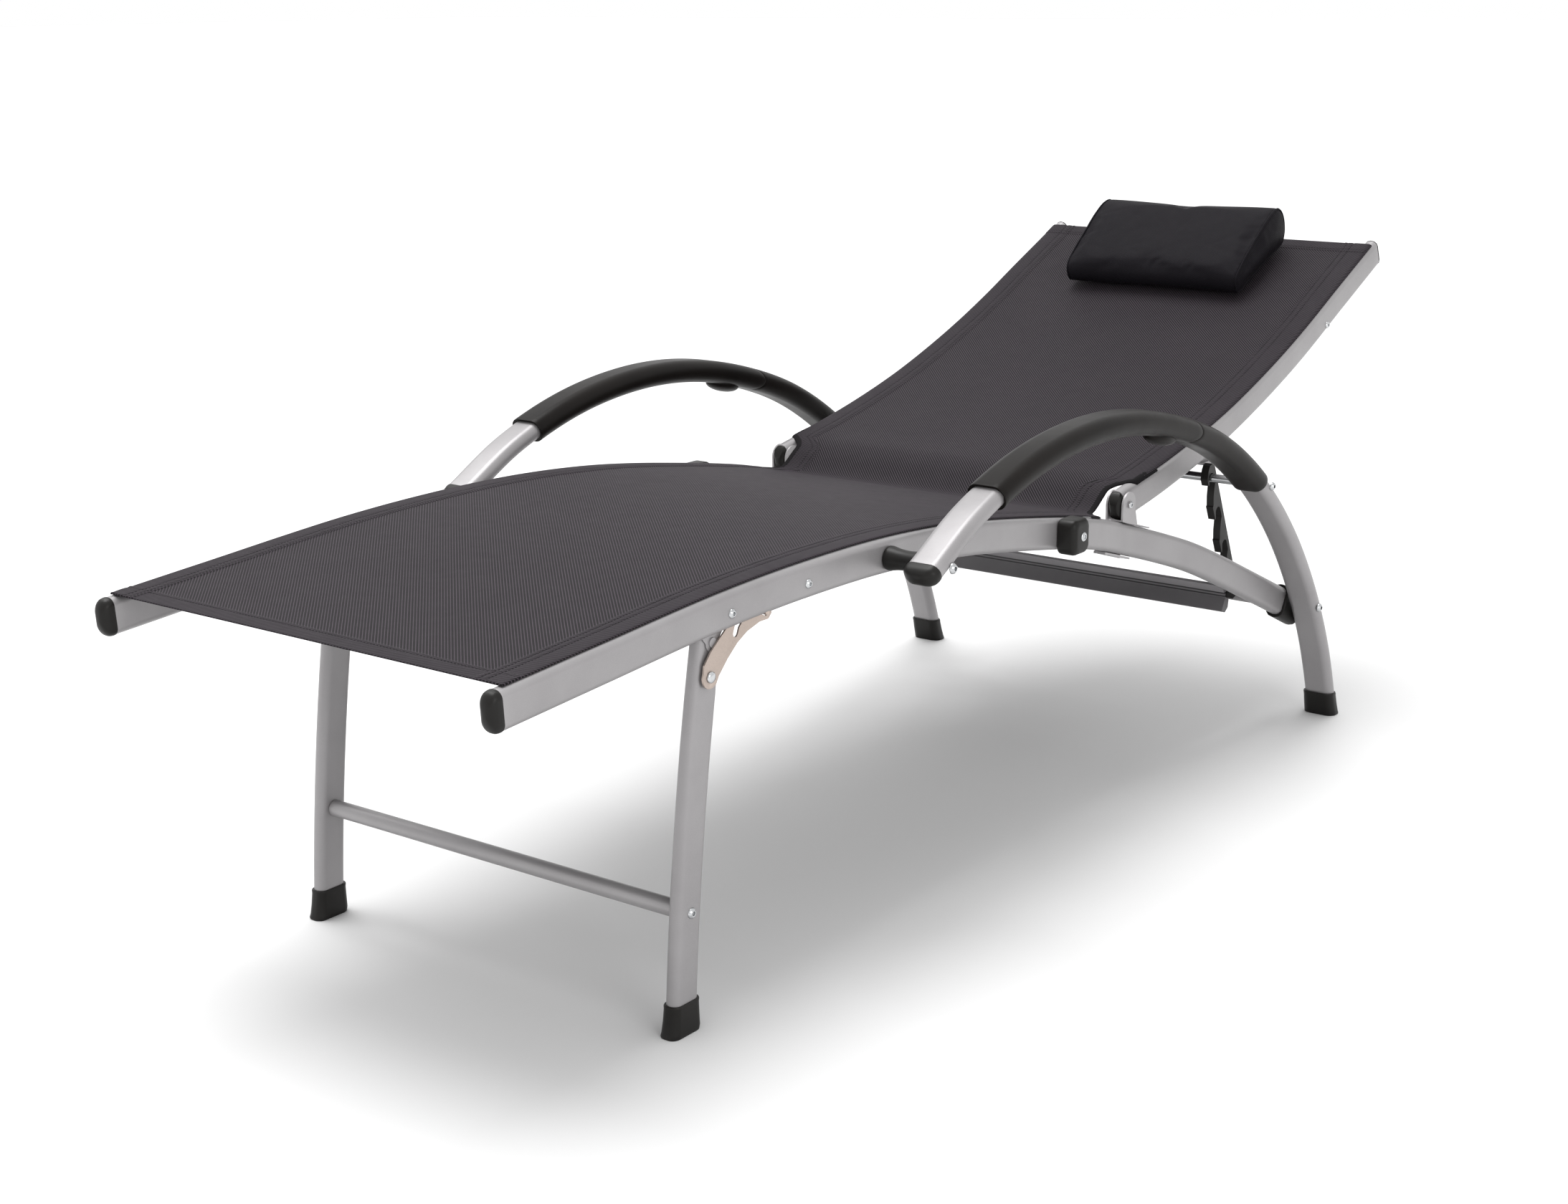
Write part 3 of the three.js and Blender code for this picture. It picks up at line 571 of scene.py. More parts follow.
for side, tag in SIDES:
    foot, rear = (seat_line.s_at(y) for y in SEAT_RAIL_ENDS)
    tube = skin([[flare(v) for v in ring(s, rail_oval, SEAT_X)] for s in seat_line.stations(foot, rear, 11)])
    rail = piece("seat_rail_tube_" + tag, mirror(tube, side), "chassis", "silver_powder_coat",
                 replaces=["seat_rail_" + tag])
    cut(rail, mirror(prism(STAY_SLOT, 257.6, 263.3), side))
    piece("stay_stud_" + tag, mirror(rod(3, 256, 265, -491.3, 401, 24, 0.2), side), "chassis", "zinc_steel")
    piece("rail_foot_cap_" + tag, mirror(dome(rail_cap_oval, SEAT_X, seat_line.at(foot), 4, 11), side),
          "chassis", "black_plastic", replaces=["rail_end_cap_" + tag])

    arm = skin([ring(s, arm_oval, ARM_X) for s in arm_line.stations(0, arm_line.s_at(ARM_END), 10)])
    piece("arm_tube_fine_" + tag, mirror(arm, side), "chassis", "silver_powder_coat",
          replaces=["arm_tube_" + tag])
    piece("arm_cap_fine_" + tag, mirror(dome(arm_cap_oval, ARM_X, arm_line.at(0), 5, 12), side),
          "chassis", "black_plastic", replaces=["arm_front_cap_" + tag])

    low, high = (back_line.s_at(y) for y in BACK_RAIL_ENDS)
    back = skin([ring(s, rail_oval, BACK_X) for s in back_line.stations(low, high, 11)])
    piece("backrest_tube_" + tag, mirror(back, side), "backrest", "silver_powder_coat",
          replaces=["backrest_rail_" + tag])


# ---- Armrest covers ----
COVER_FRONT, COVER_SEAM, COVER_REAR = -195.0, 235.0, 430.0
COVER_W, COVER_T = 47, 29
SEAM_BOW, BOW_LENGTH = 13.0, 40
COVER_LIP = [(0.9, 0.94), (0.25, 0.955), (0.0, 0.975), (0.3, 0.99), (1.2, 1.0)]
THUMB_Y, THUMB_LENGTH, THUMB_HALF, THUMB_DEPTH = 186, 30.0, 16, 9.5
cover_oval = oval(COVER_W, COVER_T, 14, 12)
cover_lining = [(x * (ARM_W + AROUND_ARM) / COVER_W, up * (ARM_T + AROUND_ARM) / COVER_T)
                for x, up in cover_oval]


def cover(y0, y1, bow0, bow1):
    """Tube cover with rolled lips; a bow pushes an end along the arm at mid height."""
    s0, s1 = arm_line.s_at(y0), arm_line.s_at(y1)

    def shaped(s, outline, scale=1.0):
        bow = bow0 * max(0.0, 1 - (s - s0) / BOW_LENGTH) + bow1 * max(0.0, 1 - (s1 - s) / BOW_LENGTH)
        _, _, ty, tz = arm_line.at(s)
        out = []
        for (x, y, z), (_, up) in zip(ring(arm_line.at(s), outline, ARM_X, scale), outline):
            shift = bow * (1 - (up / (COVER_T / 2)) ** 2)
            out.append((x, y + ty * shift, z + tz * shift))
        return out

    count = round((s1 - s0) / 8)
    rings = [shaped(s0 + along, cover_oval, scale) for along, scale in COVER_LIP]
    rings += [shaped(s0 + (s1 - s0) * i / count, cover_oval) for i in range(1, count)]
    rings += [shaped(s1 - along, cover_oval, scale) for along, scale in reversed(COVER_LIP)]
    inside = [s1 - 1.4 - (s1 - s0 - 2.8) * i / count for i in range(count + 1)]
    rings += [shaped(s, cover_lining) for s in inside]
    return skin(rings, loop=True)


def thumb_grip():
    """Smooth swelling below the cover, just in front of the seam."""
    middle = arm_line.s_at(THUMB_Y)
    rings = []
    for i in range(1, 24):
        a = math.pi * i / 24
        y, z, ty, tz = arm_line.at(middle - THUMB_LENGTH * math.cos(a))
        row = []
        for b in angles(32):
            down = COVER_T / 2 + THUMB_DEPTH * math.sin(a) * math.sin(b)
            row.append((ARM_X + THUMB_HALF * math.sin(a) * math.cos(b), y + tz * down, z - ty * down))
        rings.append(row)
    return skin(rings)


for side, tag in SIDES:
    front = mirror(cover(COVER_FRONT, COVER_SEAM - GAP, 0, SEAM_BOW), side)
    rear = mirror(cover(COVER_SEAM, COVER_REAR, SEAM_BOW, 0), side)
    piece("armrest_front_fine_" + tag, front, "chassis", "black_plastic", cover_plastic,
          ["armrest_front_" + tag])
    piece("armrest_thumb_grip_" + tag, mirror(thumb_grip(), side), "chassis", "black_plastic", cover_plastic)
    piece("armrest_rear_fine_" + tag, rear, "chassis", "black_plastic", cover_plastic,
          ["armrest_rear_" + tag])


# ---- Front legs, boots, spacers ----
LEG_FOOT, LEG_TOP = 8.8, 399
LEG_BAR_Z = 127
SPACER_Y, SPACER_Z = -290, 414.5


def leg_y(z):
    """Middle of the front leg at a height: it leans back and bows a little forward."""
    t = z / 385
    return -615.3 + 47 * t - 26 * t * (1 - t)


leg_line = Line([(z, leg_y(z)) for z in (-12, 60, 130, 200, 270, 330, 385, 402)])


def leg_station(z):
    height, y, tz, ty = leg_line.at(leg_line.s_at(z))
    return y, height, ty, tz


def boot(x, rows):
    """Boot from (z, y, width, length) rows."""
    rings = []
    for z, y, width, length in rows:
        outline = oval(width, length, min(width, length) * 0.42, 10)
        rings.append([(x + px, y + py, z) for px, py in outline])
    return skin(rings)


# Side view of what stays of the leg: cut back beside the fork, with a rounded upper corner.
leg_keep = [(-700, -20), (-480, -20), (-480, 317.5), (-562.5, 317.5), (-562.5, 388)]
leg_keep += [(-570 + 7.4 * math.cos(a), 388 + 7.4 * math.sin(a)) for a in (0.12, 0.3, 0.48, 0.66, 0.8)]
leg_keep += [(-700, 393.4)]
leg_oval = oval(LEG_W, LEG_D, 8)
FRONT_BOOT = [(FLOOR_Z, leg_y(6) - 1, 20.9, 42.9), (4.9, leg_y(6) - 1, 21.9, 43.9),
              (6.2, leg_y(6) - 1, 22.5, 44.5), (9.5, leg_y(10), 22.1, 44.1), (20, leg_y(24), 20.9, 41.9),
              (33, leg_y(34), 20, 40.1), (35.5, leg_y(36), 20.4, 40.5), (36.6, leg_y(37), 20.1, 40.2),
              (37.2, leg_y(38), 19.2, 39)]
REAR_BOOT = [(FLOOR_Z, 690, 44.4, 26.4), (4.9, 690, 45.4, 27.4), (6.2, 689.8, 46, 28), (9.5, 688.5, 45.4, 27),
             (20, 684.9, 44.4, 26), (33, 681.3, 43.5, 24.9), (35.8, 680.6, 43.9, 25.3), (37, 680.2, 43.6, 25),
             (38, 680, 42.6, 24)]
spacer = ARM_X - ARM_W / 2 - SEAT_X - RAIL_W / 2 - 2 * GAP
SPACER = [(0, 11.4), (0.5, 12.2), (1.4, 12.8), (4, 13), (8, 12.2), (14, 11.1), (20, 10.6), (27, 10.5),
          (spacer - 1.5, 11.2), (spacer - 0.4, 11.3), (spacer, 10.6)]

for side, tag in SIDES:
    heights = [LEG_FOOT + (LEG_TOP - LEG_FOOT) * i / 40 for i in range(41)]
    shape = skin([ring(leg_station(z), leg_oval, LEG_X) for z in heights])
    leg = piece("front_leg_fine_" + tag, mirror(shape, side), "front_leg_frame", "silver_powder_coat",
                replaces=["front_leg_" + tag])
    cut(leg, mirror(prism(leg_keep, 150, 300), side), "INTERSECT")
    bevelled(leg, 0.5)
    piece("front_boot_" + tag, mirror(boot(LEG_X, FRONT_BOOT), side), "front_leg_frame", "black_plastic",
          replaces=["front_foot_" + tag])
    piece("rear_boot_" + tag, mirror(boot(ARM_X, REAR_BOOT), side), "chassis", "black_plastic",
          replaces=["rear_foot_" + tag])
    shape = turned(SPACER, SEAT_X + RAIL_W / 2 + GAP, SPACER_Y, SPACER_Z)
    piece("arm_spacer_fine_" + tag, mirror(shape, side), "chassis", "black_plastic",
          replaces=["arm_spacer_" + tag])

# ---- Bars across: name, radius, half length, y, z, body, slot, material, CAD node ----
BARS = (
    ("front_leg_bar_fine", 9, LEG_X - LEG_W / 2 - GAP, leg_y(LEG_BAR_Z), LEG_BAR_Z, "front_leg_frame",
     "silver_powder_coat", None, "front_leg_crossbar"),
    ("front_cross_fine", 7.5, SEAT_X - RAIL_W / 2 - GAP, -424, 409, "chassis",
     "silver_powder_coat", None, "front_cross_tube"),
    ("rear_cross_fine", 8, 277.6, 586, 182, "chassis", "silver_powder_coat", None, "rear_cross_tube"),
    ("prop_bar_fine", 5.5, 304.7, BAR_Y, BAR_Z, "chassis", "zinc_steel", bright, "prop_bar"),
    ("backrest_cross_fine", 8, 243.7, 784, 529, "backrest", "silver_powder_coat", None,
     "backrest_cross_tube"))
for name, radius, half, y, z, body, slot, material, cad_node in BARS:
    piece(name, rod(radius, -half, half, y, z), body, slot, material, [cad_node])

# ---- Bumper block: an oval that draws in by so much at each x ----
BUMPER_Y, BUMPER_Z, BUMPER_LENGTH, BUMPER_HEIGHT = 68, 370, 36, 42
BUMPER_STEPS = ((267.3, 2.4), (267.9, 1.0), (269, 0.3), (271, 0.0), (285, 0.0), (287.4, 0.5), (289.4, 1.7),
                (291, 3.4), (291.8, 5.4), (292, 7.5))
for side, tag in SIDES:
    rings = []
    for x, inward in BUMPER_STEPS:
        outline = oval(BUMPER_LENGTH - 2 * inward, BUMPER_HEIGHT - 2 * inward, max(9 - inward * 0.4, 4), 10)
        rings.append([(x, BUMPER_Y + py, BUMPER_Z + pz) for py, pz in outline])
    piece("bumper_fine_" + tag, mirror(skin(rings), side), "chassis", "black_plastic",
          replaces=["bumper_block_" + tag], angle=40)

# ---- Small parts that keep the CAD shape, with softened edges: node, bevel, segments ----
SOFTENED = (("rail_socket_", 0.8, 2), ("hinge_clevis_", 0.5, 2), ("leg_bracket_", 0.4, 2),
            ("fold_stay_", 0.35, 2), ("backrest_plug_", 0.6, 2), ("backrest_top_cap_", 0.6, 2),
            ("rack_comb_", 2.0, 3), ("rack_plate_", 0.4, 2), ("rack_pivot_pin_", 0.4, 2))
for side, tag in SIDES:
    for name, bevel, segments in SOFTENED:
        polished(name + tag, bevel, segments)
# The grip's material paints its light and shade: a lit upper band, with shaded grooves and a shaded lower
# face.
polished("rack_grip", 0.5, material=grip_painted_shade)

# ---- Fasteners ----
RIVET = [(0, 3.4), (0.2, 5.8), (1.2, 5.7), (2.2, 4.6), (2.8, 2.4), (2.9, 0.6)]
for side, tag in SIDES:
    arm_face = ARM_X + ARM_W / 2 + GAP
    arm_screws = [screw(arm_face, SPACER_Y, SPACER_Z, 6, 4), screw(arm_face, BAR_Y - 3, BAR_Z, 5.5, 4),
                  screw(arm_face, 615, 174, 6, 4)]
    piece("arm_screws_" + tag, mirror(merge(arm_screws), side), "chassis", "zinc_steel", bright,
          ["arm_front_bolt_" + tag, "arm_bar_bolt_" + tag, "arm_leg_bolt_" + tag], angle=30)
    rail_face = SEAT_X + RAIL_W / 2
    chassis_screws = [screw(rail_face, -549, 412.6, 5, 2.6), screw(rail_face, -428, 416, 5, 2.6),
                      screw(292, 70, 370, 5.6, 1.6, 0.55), screw(266.9, HINGE_Y, HINGE_Z, 4.6, 1.4, 0.5)]
    piece("chassis_screws_" + tag, mirror(merge(chassis_screws), side), "chassis", "zinc_steel", bright,
          angle=30)
    piece("backrest_screw_" + tag, mirror(screw(262, 783, 527, 5, 2.4), side), "backrest", "zinc_steel",
          bright, angle=30)
    leg_screw = screw(257.5, leg_y(LEG_BAR_Z), LEG_BAR_Z, 5.6, 3)
    piece("leg_screw_" + tag, mirror(leg_screw, side), "front_leg_frame", "zinc_steel", bright, angle=30)
    piece("stay_rivet_" + tag, mirror(turned(RIVET, 263.2, -577.5, 356.4, 24), side), "front_leg_frame",
          "zinc_steel", bright, angle=50)

# ---- Sling: one cloth over the seat rails, free between the hinges, and over the backrest rails ----
CLOTH = 1.2
SEAT_HALF, BACK_HALF, NECK_HALF = 261.5, 259.5, 234.0
SEAT_CROWN, BACK_CROWN = 259, 254  # where the crowns of the rails begin to round off
SEAT_ROWS = (-852, -790, -720, -640, -560, -490, -430, -360, -290, -220, -150, -75, 0, 60, 110, 140, 156)
BACK_ROWS = (262, 300, 350, 420, 500, 580, 660, 740, 820, 880, 934)
ROW_SAMPLES = 30
END_SEAM, END_HEM = 20, 24  # stitching and turned-in edge, from either end
INNER_COLUMNS, ROW_STEP = 22, 7
END_ROWS = [0, 0.6, 1.8, 4, 9, 14, 18, 19.2, 20, 20.8, 22.5, 23.6, 24.4, 28]


def rail_top(line, y, lift=0.6):
    """Point above a rail's crown, as (y, z)."""
    py, pz, ty, tz = line.at(line.s_at(y))
    rise = RAIL_H / 2 + lift
    return py - tz * rise, pz + ty * rise


# Between the hinges the cloth leaves the seat rails and comes up to the backrest rails from below.
sling_rows = [rail_top(seat_line, y) for y in SEAT_ROWS]
for t in (0.3, 0.65, 1.0):
    y, z = rail_top(seat_line, 158 + 30 * t)
    sling_rows.append((y, z + 6.5 * t * t))
for y in (228, 240, 252):
    py, pz = rail_top(back_line, y)
    sling_rows.append((py, pz - 0.006 * (262 - y) ** 2))
sling_rows += [rail_top(back_line, y) for y in BACK_ROWS]
sling_path = Line(sling_rows, ROW_SAMPLES)
row_lengths = [sling_path.lengths[i * ROW_SAMPLES] for i in range(len(sling_rows))]
total = sling_path.lengths[-1]
SEAT_END = len(SEAT_ROWS) - 1
BACK_START = len(sling_rows) - len(BACK_ROWS)
neck_from, neck_full, neck_loose, neck_to = (row_lengths[SEAT_END], row_lengths[SEAT_END + 3],
                                             row_lengths[SEAT_END + 4], sling_path.s_at(250))


def half_width(s):
    """Half the cloth's width: full on the seat and back, narrow between the hinges."""
    wide = SEAT_HALF if s < (neck_full + neck_loose) / 2 else BACK_HALF
    if s < neck_full:
        t = max(0.0, (s - neck_from) / (neck_full - neck_from))
    elif s > neck_loose:
        t = max(0.0, (neck_to - s) / (neck_to - neck_loose))
    else:
        t = 1.0
    return wide - (wide - NECK_HALF) * math.sin(t * math.pi / 2)


def stitch_offsets(s):
    """The two seams' distances from the side edge."""
    w = s / total
    return 21 + 5 * w, 29 + 6 * w


def crown_drop(x, s):
    """How far the cloth follows the rounded crown of the rail near its edge."""
    crown = SEAT_CROWN if s < row_lengths[SEAT_END + 2] else BACK_CROWN
    d = max(0.0, abs(x) - crown)
    return RAIL_R - math.sqrt(max(0.0, RAIL_R ** 2 - min(d, 7.5) ** 2))


def cloth_top(x, s):
    """Height of the cloth's upper face: hems, stitched grooves and puckers."""
    e = half_width(s) - abs(x)
    first, second = stitch_offsets(s)
    height = CLOTH
    if e < second + 4:
        height += 0.7
    end = min(s, total - s)
    if end < END_HEM:
        height += 0.6
    for d in (abs(e - first), abs(e - second)):
        height -= 0.75 * math.exp(-(d / 1.1) ** 2)
    height -= 0.5 * math.exp(-((end - END_SEAM) / 1.2) ** 2)
    pucker = noise.noise(Vector((x * 0.05, s * 0.11, 3.0))) * 0.35 * math.exp(-((e - 25) / 14) ** 2)
    return height + pucker


def cloth_point(x, s, above):
    """A point at a height above the cloth's path."""
    y, z, ty, tz = sling_path.at(s)
    h = above - crown_drop(x, s)
    return (x, y - tz * h, z + ty * h)


def column_offsets(s):
    """Distances from the side edge at which the cloth has columns."""
    first, second = stitch_offsets(s)
    return [0.0, 0.5, 1.6, 4.0, 8, 13, first - 3, first - 1.1, first, first + 1.1, first + 3, second - 1.1,
            second, second + 1.1, second + 3.6, second + 4.4, second + 8]


middle_length = total - 2 * END_ROWS[-1]
middle_rows = round(middle_length / ROW_STEP)
row_s = END_ROWS + [END_ROWS[-1] + middle_length * i / middle_rows for i in range(1, middle_rows)]
row_s += [total - r for r in reversed(END_ROWS)]


def sling_columns(s):
    outer = [half_width(s) - e for e in column_offsets(s)]
    inner = [outer[-1] * (1 - 2 * k / INNER_COLUMNS) for k in range(1, INNER_COLUMNS)]
    return outer + inner + [-x for x in reversed(outer)]


def sling_mesh():
    """Upper and lower face with a rim; hem faces are marked, since their twill runs the other way."""
    verts, uvs = [], []
    grid = [sling_columns(s) for s in row_s]
    n, rows = len(grid[0]), len(row_s)
    for upper in (True, False):
        for s, xs in zip(row_s, grid):
            half = half_width(s)
            end = min(s, total - s)
            for x in xs:
                e = half - abs(x)
                pinch = 0.45 * max(0.0, 1 - min(e, end) / 0.8)
                above = pinch
                if upper:
                    fold = 0.55 * math.sin(s * 0.9 + x * 0.31) * math.exp(-(e / 3) ** 2)
                    above = cloth_top(x, s) - pinch + fold * 0.25
                verts.append(cloth_point(x, s, above))
                uvs.append((x / 1000, s / 1000))
    low = rows * n
    faces, hems = [], []
    for base in (0, low):
        for r in range(rows - 1):
            middle = (row_s[r] + row_s[r + 1]) / 2
            columns = len(column_offsets(middle))
            end_hem = min(middle, total - middle) < END_HEM
            for c in range(n - 1):
                a = base + r * n + c
                quad = (a, a + 1, a + n + 1, a + n)
                faces.append(tuple(reversed(quad)) if base else quad)
                hems.append(end_hem or c < columns - 2 or c > n - columns)
    rim = [(0, c) for c in range(n)] + [(r, n - 1) for r in range(1, rows)]
    rim += [(rows - 1, c) for c in range(n - 2, -1, -1)] + [(r, 0) for r in range(rows - 2, 0, -1)]
    for (r0, c0), (r1, c1) in zip(rim, rim[1:] + rim[:1]):
        a, b = r0 * n + c0, r1 * n + c1
        faces.append((a, low + a, low + b, b))
        hems.append(True)
    return verts, faces, uvs, hems


def blend_sling(obj):
    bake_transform(obj)


verts, faces, uvs, hems = sling_mesh()
sling = piece("sling", (verts, faces), None, "sling_fabric", replaces=["seat_sling", "back_sling"], angle=70)
uv_layer = sling.data.uv_layers.new(name="cloth")
for polygon, hem in zip(sling.data.polygons, hems):
    for loop in polygon.loop_indices:
        u, v = uvs[sling.data.loops[loop].vertex_index]
        uv_layer.data[loop].uv = (-u if hem else u, v)

STITCH_PITCH, STITCH_LENGTH = 4.2, 3.1
SPINDLE = ((-0.5, 0, -0.25), (-0.28, 0.34, 0.1), (-0.28, -0.34, 0.1), (0, 0, 0.5), (0.28, 0.34, 0.1),
           (0.28, -0.34, 0.1), (0.5, 0, -0.25))
SPINDLE_FACES = [(0, 1, 3), (0, 3, 2), (1, 4, 3), (3, 5, 2), (4, 6, 3), (3, 6, 5), (0, 2, 1), (1, 2, 5),
                 (1, 5, 4), (4, 5, 6)]
SEAM_MARGIN, END_SEAM_HALF = 6, 225  # where the side seams start, and how far the end seams reach


def stitch(x, s, dx, ds):
    """One thread loop lying in its groove, as a small faceted spindle."""
    above = cloth_top(x, s) + 0.2
    points = []
    for along, side_step, lift in SPINDLE:
        px = x + dx * along * STITCH_LENGTH + ds * side_step
        ps = s + ds * along * STITCH_LENGTH + dx * side_step
        points.append(cloth_point(px, ps, above + lift * 0.8))
    return points, SPINDLE_FACES


def edge_slope(s0, s1):
    """How fast the half width grows between two lengths 4 mm apart."""
    return (half_width(s1) - half_width(s0)) / 4


stitches = []
s = SEAM_MARGIN
while s < total - SEAM_MARGIN:
    slope = edge_slope(max(s - 2, 0), min(s + 2, total))
    for side in (1, -1):
        for offset in stitch_offsets(s):
            stitches.append(stitch(side * (half_width(s) - offset), s, side * slope, 1.0))
    s += STITCH_PITCH
for end_s in (END_SEAM, total - END_SEAM):
    x = -END_SEAM_HALF
    while x < END_SEAM_HALF + 1:
        stitches.append(stitch(x, end_s, 1.0, 0.0))
        x += STITCH_PITCH
sling_stitching = piece("sling_stitching", merge(stitches), None, "sling_fabric", thread, angle=80)


def binding(side):
    """Dark folded tape round the curved cut-out beside the hinge."""
    s0, s1 = row_lengths[SEAT_END - 1] - 6, row_lengths[BACK_START + 1] + 6
    rings = []
    count = 60
    for i in range(count + 1):
        s = s0 + (s1 - s0) * i / count
        slope = edge_slope(s - 2, s + 2)
        norm = math.hypot(1, slope)
        swell = math.sin(math.pi * i / count) ** 0.4 if 0 < i < count else 0.15
        tape = []
        for a in angles(14):
            across = -2.6 + 4.4 * math.cos(a)
            above = 0.75 + 1.75 * math.sin(a) * swell + 0.12 * math.sin(i * 2.1)
            tape.append(cloth_point(side * (half_width(s) + across / norm), s - across * slope / norm, above))
        rings.append(tape)
    return skin(rings)


sling_binding = piece("sling_binding", merge([binding(1), binding(-1)]), None, "sling_fabric", thread,
                      angle=60)
for obj in (sling, sling_stitching, sling_binding):
    blend_sling(obj)

# ---- Head cushion ----
CUSHION_SIDE = [(-10, 2.5), (-17, 13), (-17, 28), (-8, 38), (50, 55), (112, 67), (138, 66), (152, 54),
                (157, 32), (149, 11), (135, 3)]
CUSHION_CENTRE = Vector((70, 33))
CUSHION_SHRINK = ((-139, 0.93), (-137.5, 0.96), (-134, 0.972), (-110, 0.978), (-70, 0.982), (-30, 0.985),
                  (0, 0.985), (30, 0.985), (70, 0.982), (110, 0.978), (134, 0.972), (137.5, 0.96),
                  (139, 0.93))
ON_SLING = 0.6 + 1.6 + 0.5  # rail to sling, the CAD sling itself, and a little air
PIPING_X, PIPING_RADIUS = 137.5, 0.0013
VOXEL, PRESSURE, MOST_SWELL, CLOTH_FRAMES = 0.0045, 3.2, 0.005, 20
origin = rail_top(back_line, 786, ON_SLING)
upper = rail_top(back_line, 914, ON_SLING)
direction = Vector((upper[0] - origin[0], upper[1] - origin[1])).normalized()


def on_cushion(along, up):
    """(y, z) from distances along and above the backrest."""
    return (origin[0] + direction.x * along - direction.y * up,
            origin[1] + direction.y * along + direction.x * up)


def along_and_up(v):
    """Distances along and above the backrest, from a point in metres."""
    y, z = (v.y + SHIFT_Y) * 1000 - origin[0], (v.z + SHIFT_Z) * 1000 - origin[1]
    return direction.x * y + direction.y * z, -direction.y * y + direction.x * z


def smooth_outline(points, count):
    """Even points round a closed outline, corners lightly rounded."""
    corners = [Vector(p) for p in points]
    for _ in range(2):
        rounded = []
        for a, b in zip(corners, corners[1:] + corners[:1]):
            rounded += [a.lerp(b, 0.25), a.lerp(b, 0.75)]
        corners = rounded
    lengths = [0.0]
    closed = corners + corners[:1]
    for a, b in zip(closed, closed[1:]):
        lengths.append(lengths[-1] + (b - a).length)
    out, k = [], 0
    for i in range(count):
        target = lengths[-1] * i / count
        while lengths[k + 1] < target:
            k += 1
        w = (target - lengths[k]) / (lengths[k + 1] - lengths[k])
        out.append(closed[k].lerp(closed[k + 1], w))
    return out


def cushion_section(x, shrink, count):
    return [(x, *on_cushion(*(CUSHION_CENTRE + (p - CUSHION_CENTRE) * shrink)))
            for p in smooth_outline(CUSHION_SIDE, count)]


def remesh(obj, voxel):
    m = obj.modifiers.new("remesh", "REMESH")
    m.mode = "VOXEL"
    m.voxel_size = voxel
    bake(obj)


def inflate(obj, pressure, limit):
    """Cloth under pressure without gravity, each point held within a limit in metres."""
    start = [v.co.copy() for v in obj.data.vertices]
    m = obj.modifiers.new("cloth", "CLOTH")
    m.settings.quality = 6
    m.settings.mass = 0.25
    m.settings.tension_stiffness = 22
    m.settings.compression_stiffness = 22
    m.settings.shear_stiffness = 10
    m.settings.bending_stiffness = 1.2
    m.settings.use_pressure = True
    m.settings.uniform_pressure_force = pressure
    m.settings.effector_weights.gravity = 0
    m.collision_settings.use_collision = False
    m.point_cache.frame_start = 1
    m.point_cache.frame_end = CLOTH_FRAMES
    for step in range(1, CLOTH_FRAMES + 1):
        bpy.context.scene.frame_set(step)
    bake(obj)
    for v, old in zip(obj.data.vertices, start):
        move = v.co - old
        if move.length > limit:
            v.co = old + move.normalized() * limit
    bpy.context.scene.frame_set(1)


def wrinkle(mesh):
    """Presses shallow creases and unevenness into the upper faces, and draws the ends in."""
    dip = random.Random(7)
    creases = [(dip.uniform(-120, 120), dip.uniform(10, 130), dip.uniform(0, math.pi), dip.uniform(10, 26),
                dip.uniform(0.3, 0.8)) for _ in range(16)]
    for v in mesh.vertices:
        along, up = along_and_up(v.co)
        x = v.co.x * 1000
        shift = 0.0
        for crease_x, crease_along, angle, size, depth in creases:
            dx, da = x - crease_x, along - crease_along
            across = dx * math.cos(angle) + da * math.sin(angle)
            length = -dx * math.sin(angle) + da * math.cos(angle)
            shift += depth * math.exp(-(across / 4.5) ** 2 - (length / size) ** 2)
        shift += 0.5 * noise.noise(Vector((x * 0.018, along * 0.02, up * 0.03)))
        edge_pull = 2.0 * max(0.0, abs(x) / 141 - 0.9)
        v.co = metres(x, *on_cushion(along, max(up - shift * min(1.0, up / 12) - edge_pull, 0.4)))


def piping(obj, name, path, radius):
    """Piping laid round a cushion along a closed path in metres."""
    placed = []
    for p in path:
        _, place, normal, _ = obj.closest_point_on_mesh(p)
        placed.append(place + normal * (radius * 0.35))
    n = len(placed)
    for _ in range(3):
        placed = [(placed[i - 1] + placed[i] * 2 + placed[(i + 1) % n]) / 4 for i in range(n)]
    rings = []
    for i, p in enumerate(placed):
        t = (placed[(i + 1) % n] - placed[i - 1]).normalized()
        reference = Vector((1, 0, 0)) if abs(t.x) < 0.9 else Vector((0, 0, 1))
        across = t.cross(reference).normalized()
        other = t.cross(across)
        rings.append([p + (across * math.cos(c) + other * math.sin(c)) * radius for c in angles(8)])
    out = add_object(name, *skin(rings, loop=True), 60, cushion_cloth)
    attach(out, "backrest")


cushion_shape = skin([cushion_section(x, shrink, 64) for x, shrink in CUSHION_SHRINK])
cushion = piece("cushion", cushion_shape, None, "cushion_fabric", replaces=["head_cushion"], angle=60)
remesh(cushion, VOXEL)
inflate(cushion, PRESSURE, MOST_SWELL)
wrinkle(cushion.data)
bpy.context.view_layer.update()
finish_mesh(cushion.data, 180)
cushion.data.materials.clear()
cushion.data.materials.append(cushion_cloth)
for side, tag in SIDES:
    piping(cushion, "cushion_piping_" + tag,
           [metres(*p) for p in cushion_section(side * PIPING_X, 0.985, 120)], PIPING_RADIUS)
smoother = cushion.modifiers.new("smooth", "SUBSURF")
smoother.levels = 1
smoother.render_levels = 1
bake(cushion)
finish_mesh(cushion.data, 180)
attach(cushion, "backrest")

# ---- Every CAD node still shown takes its finish ----
for name, obj in frame["nodes"].items():
    for i, old in enumerate(obj.data.materials):
        key = old.name.split(".")[0]
        if key in LOOKS:
            obj.data.materials[i] = LOOKS[key]

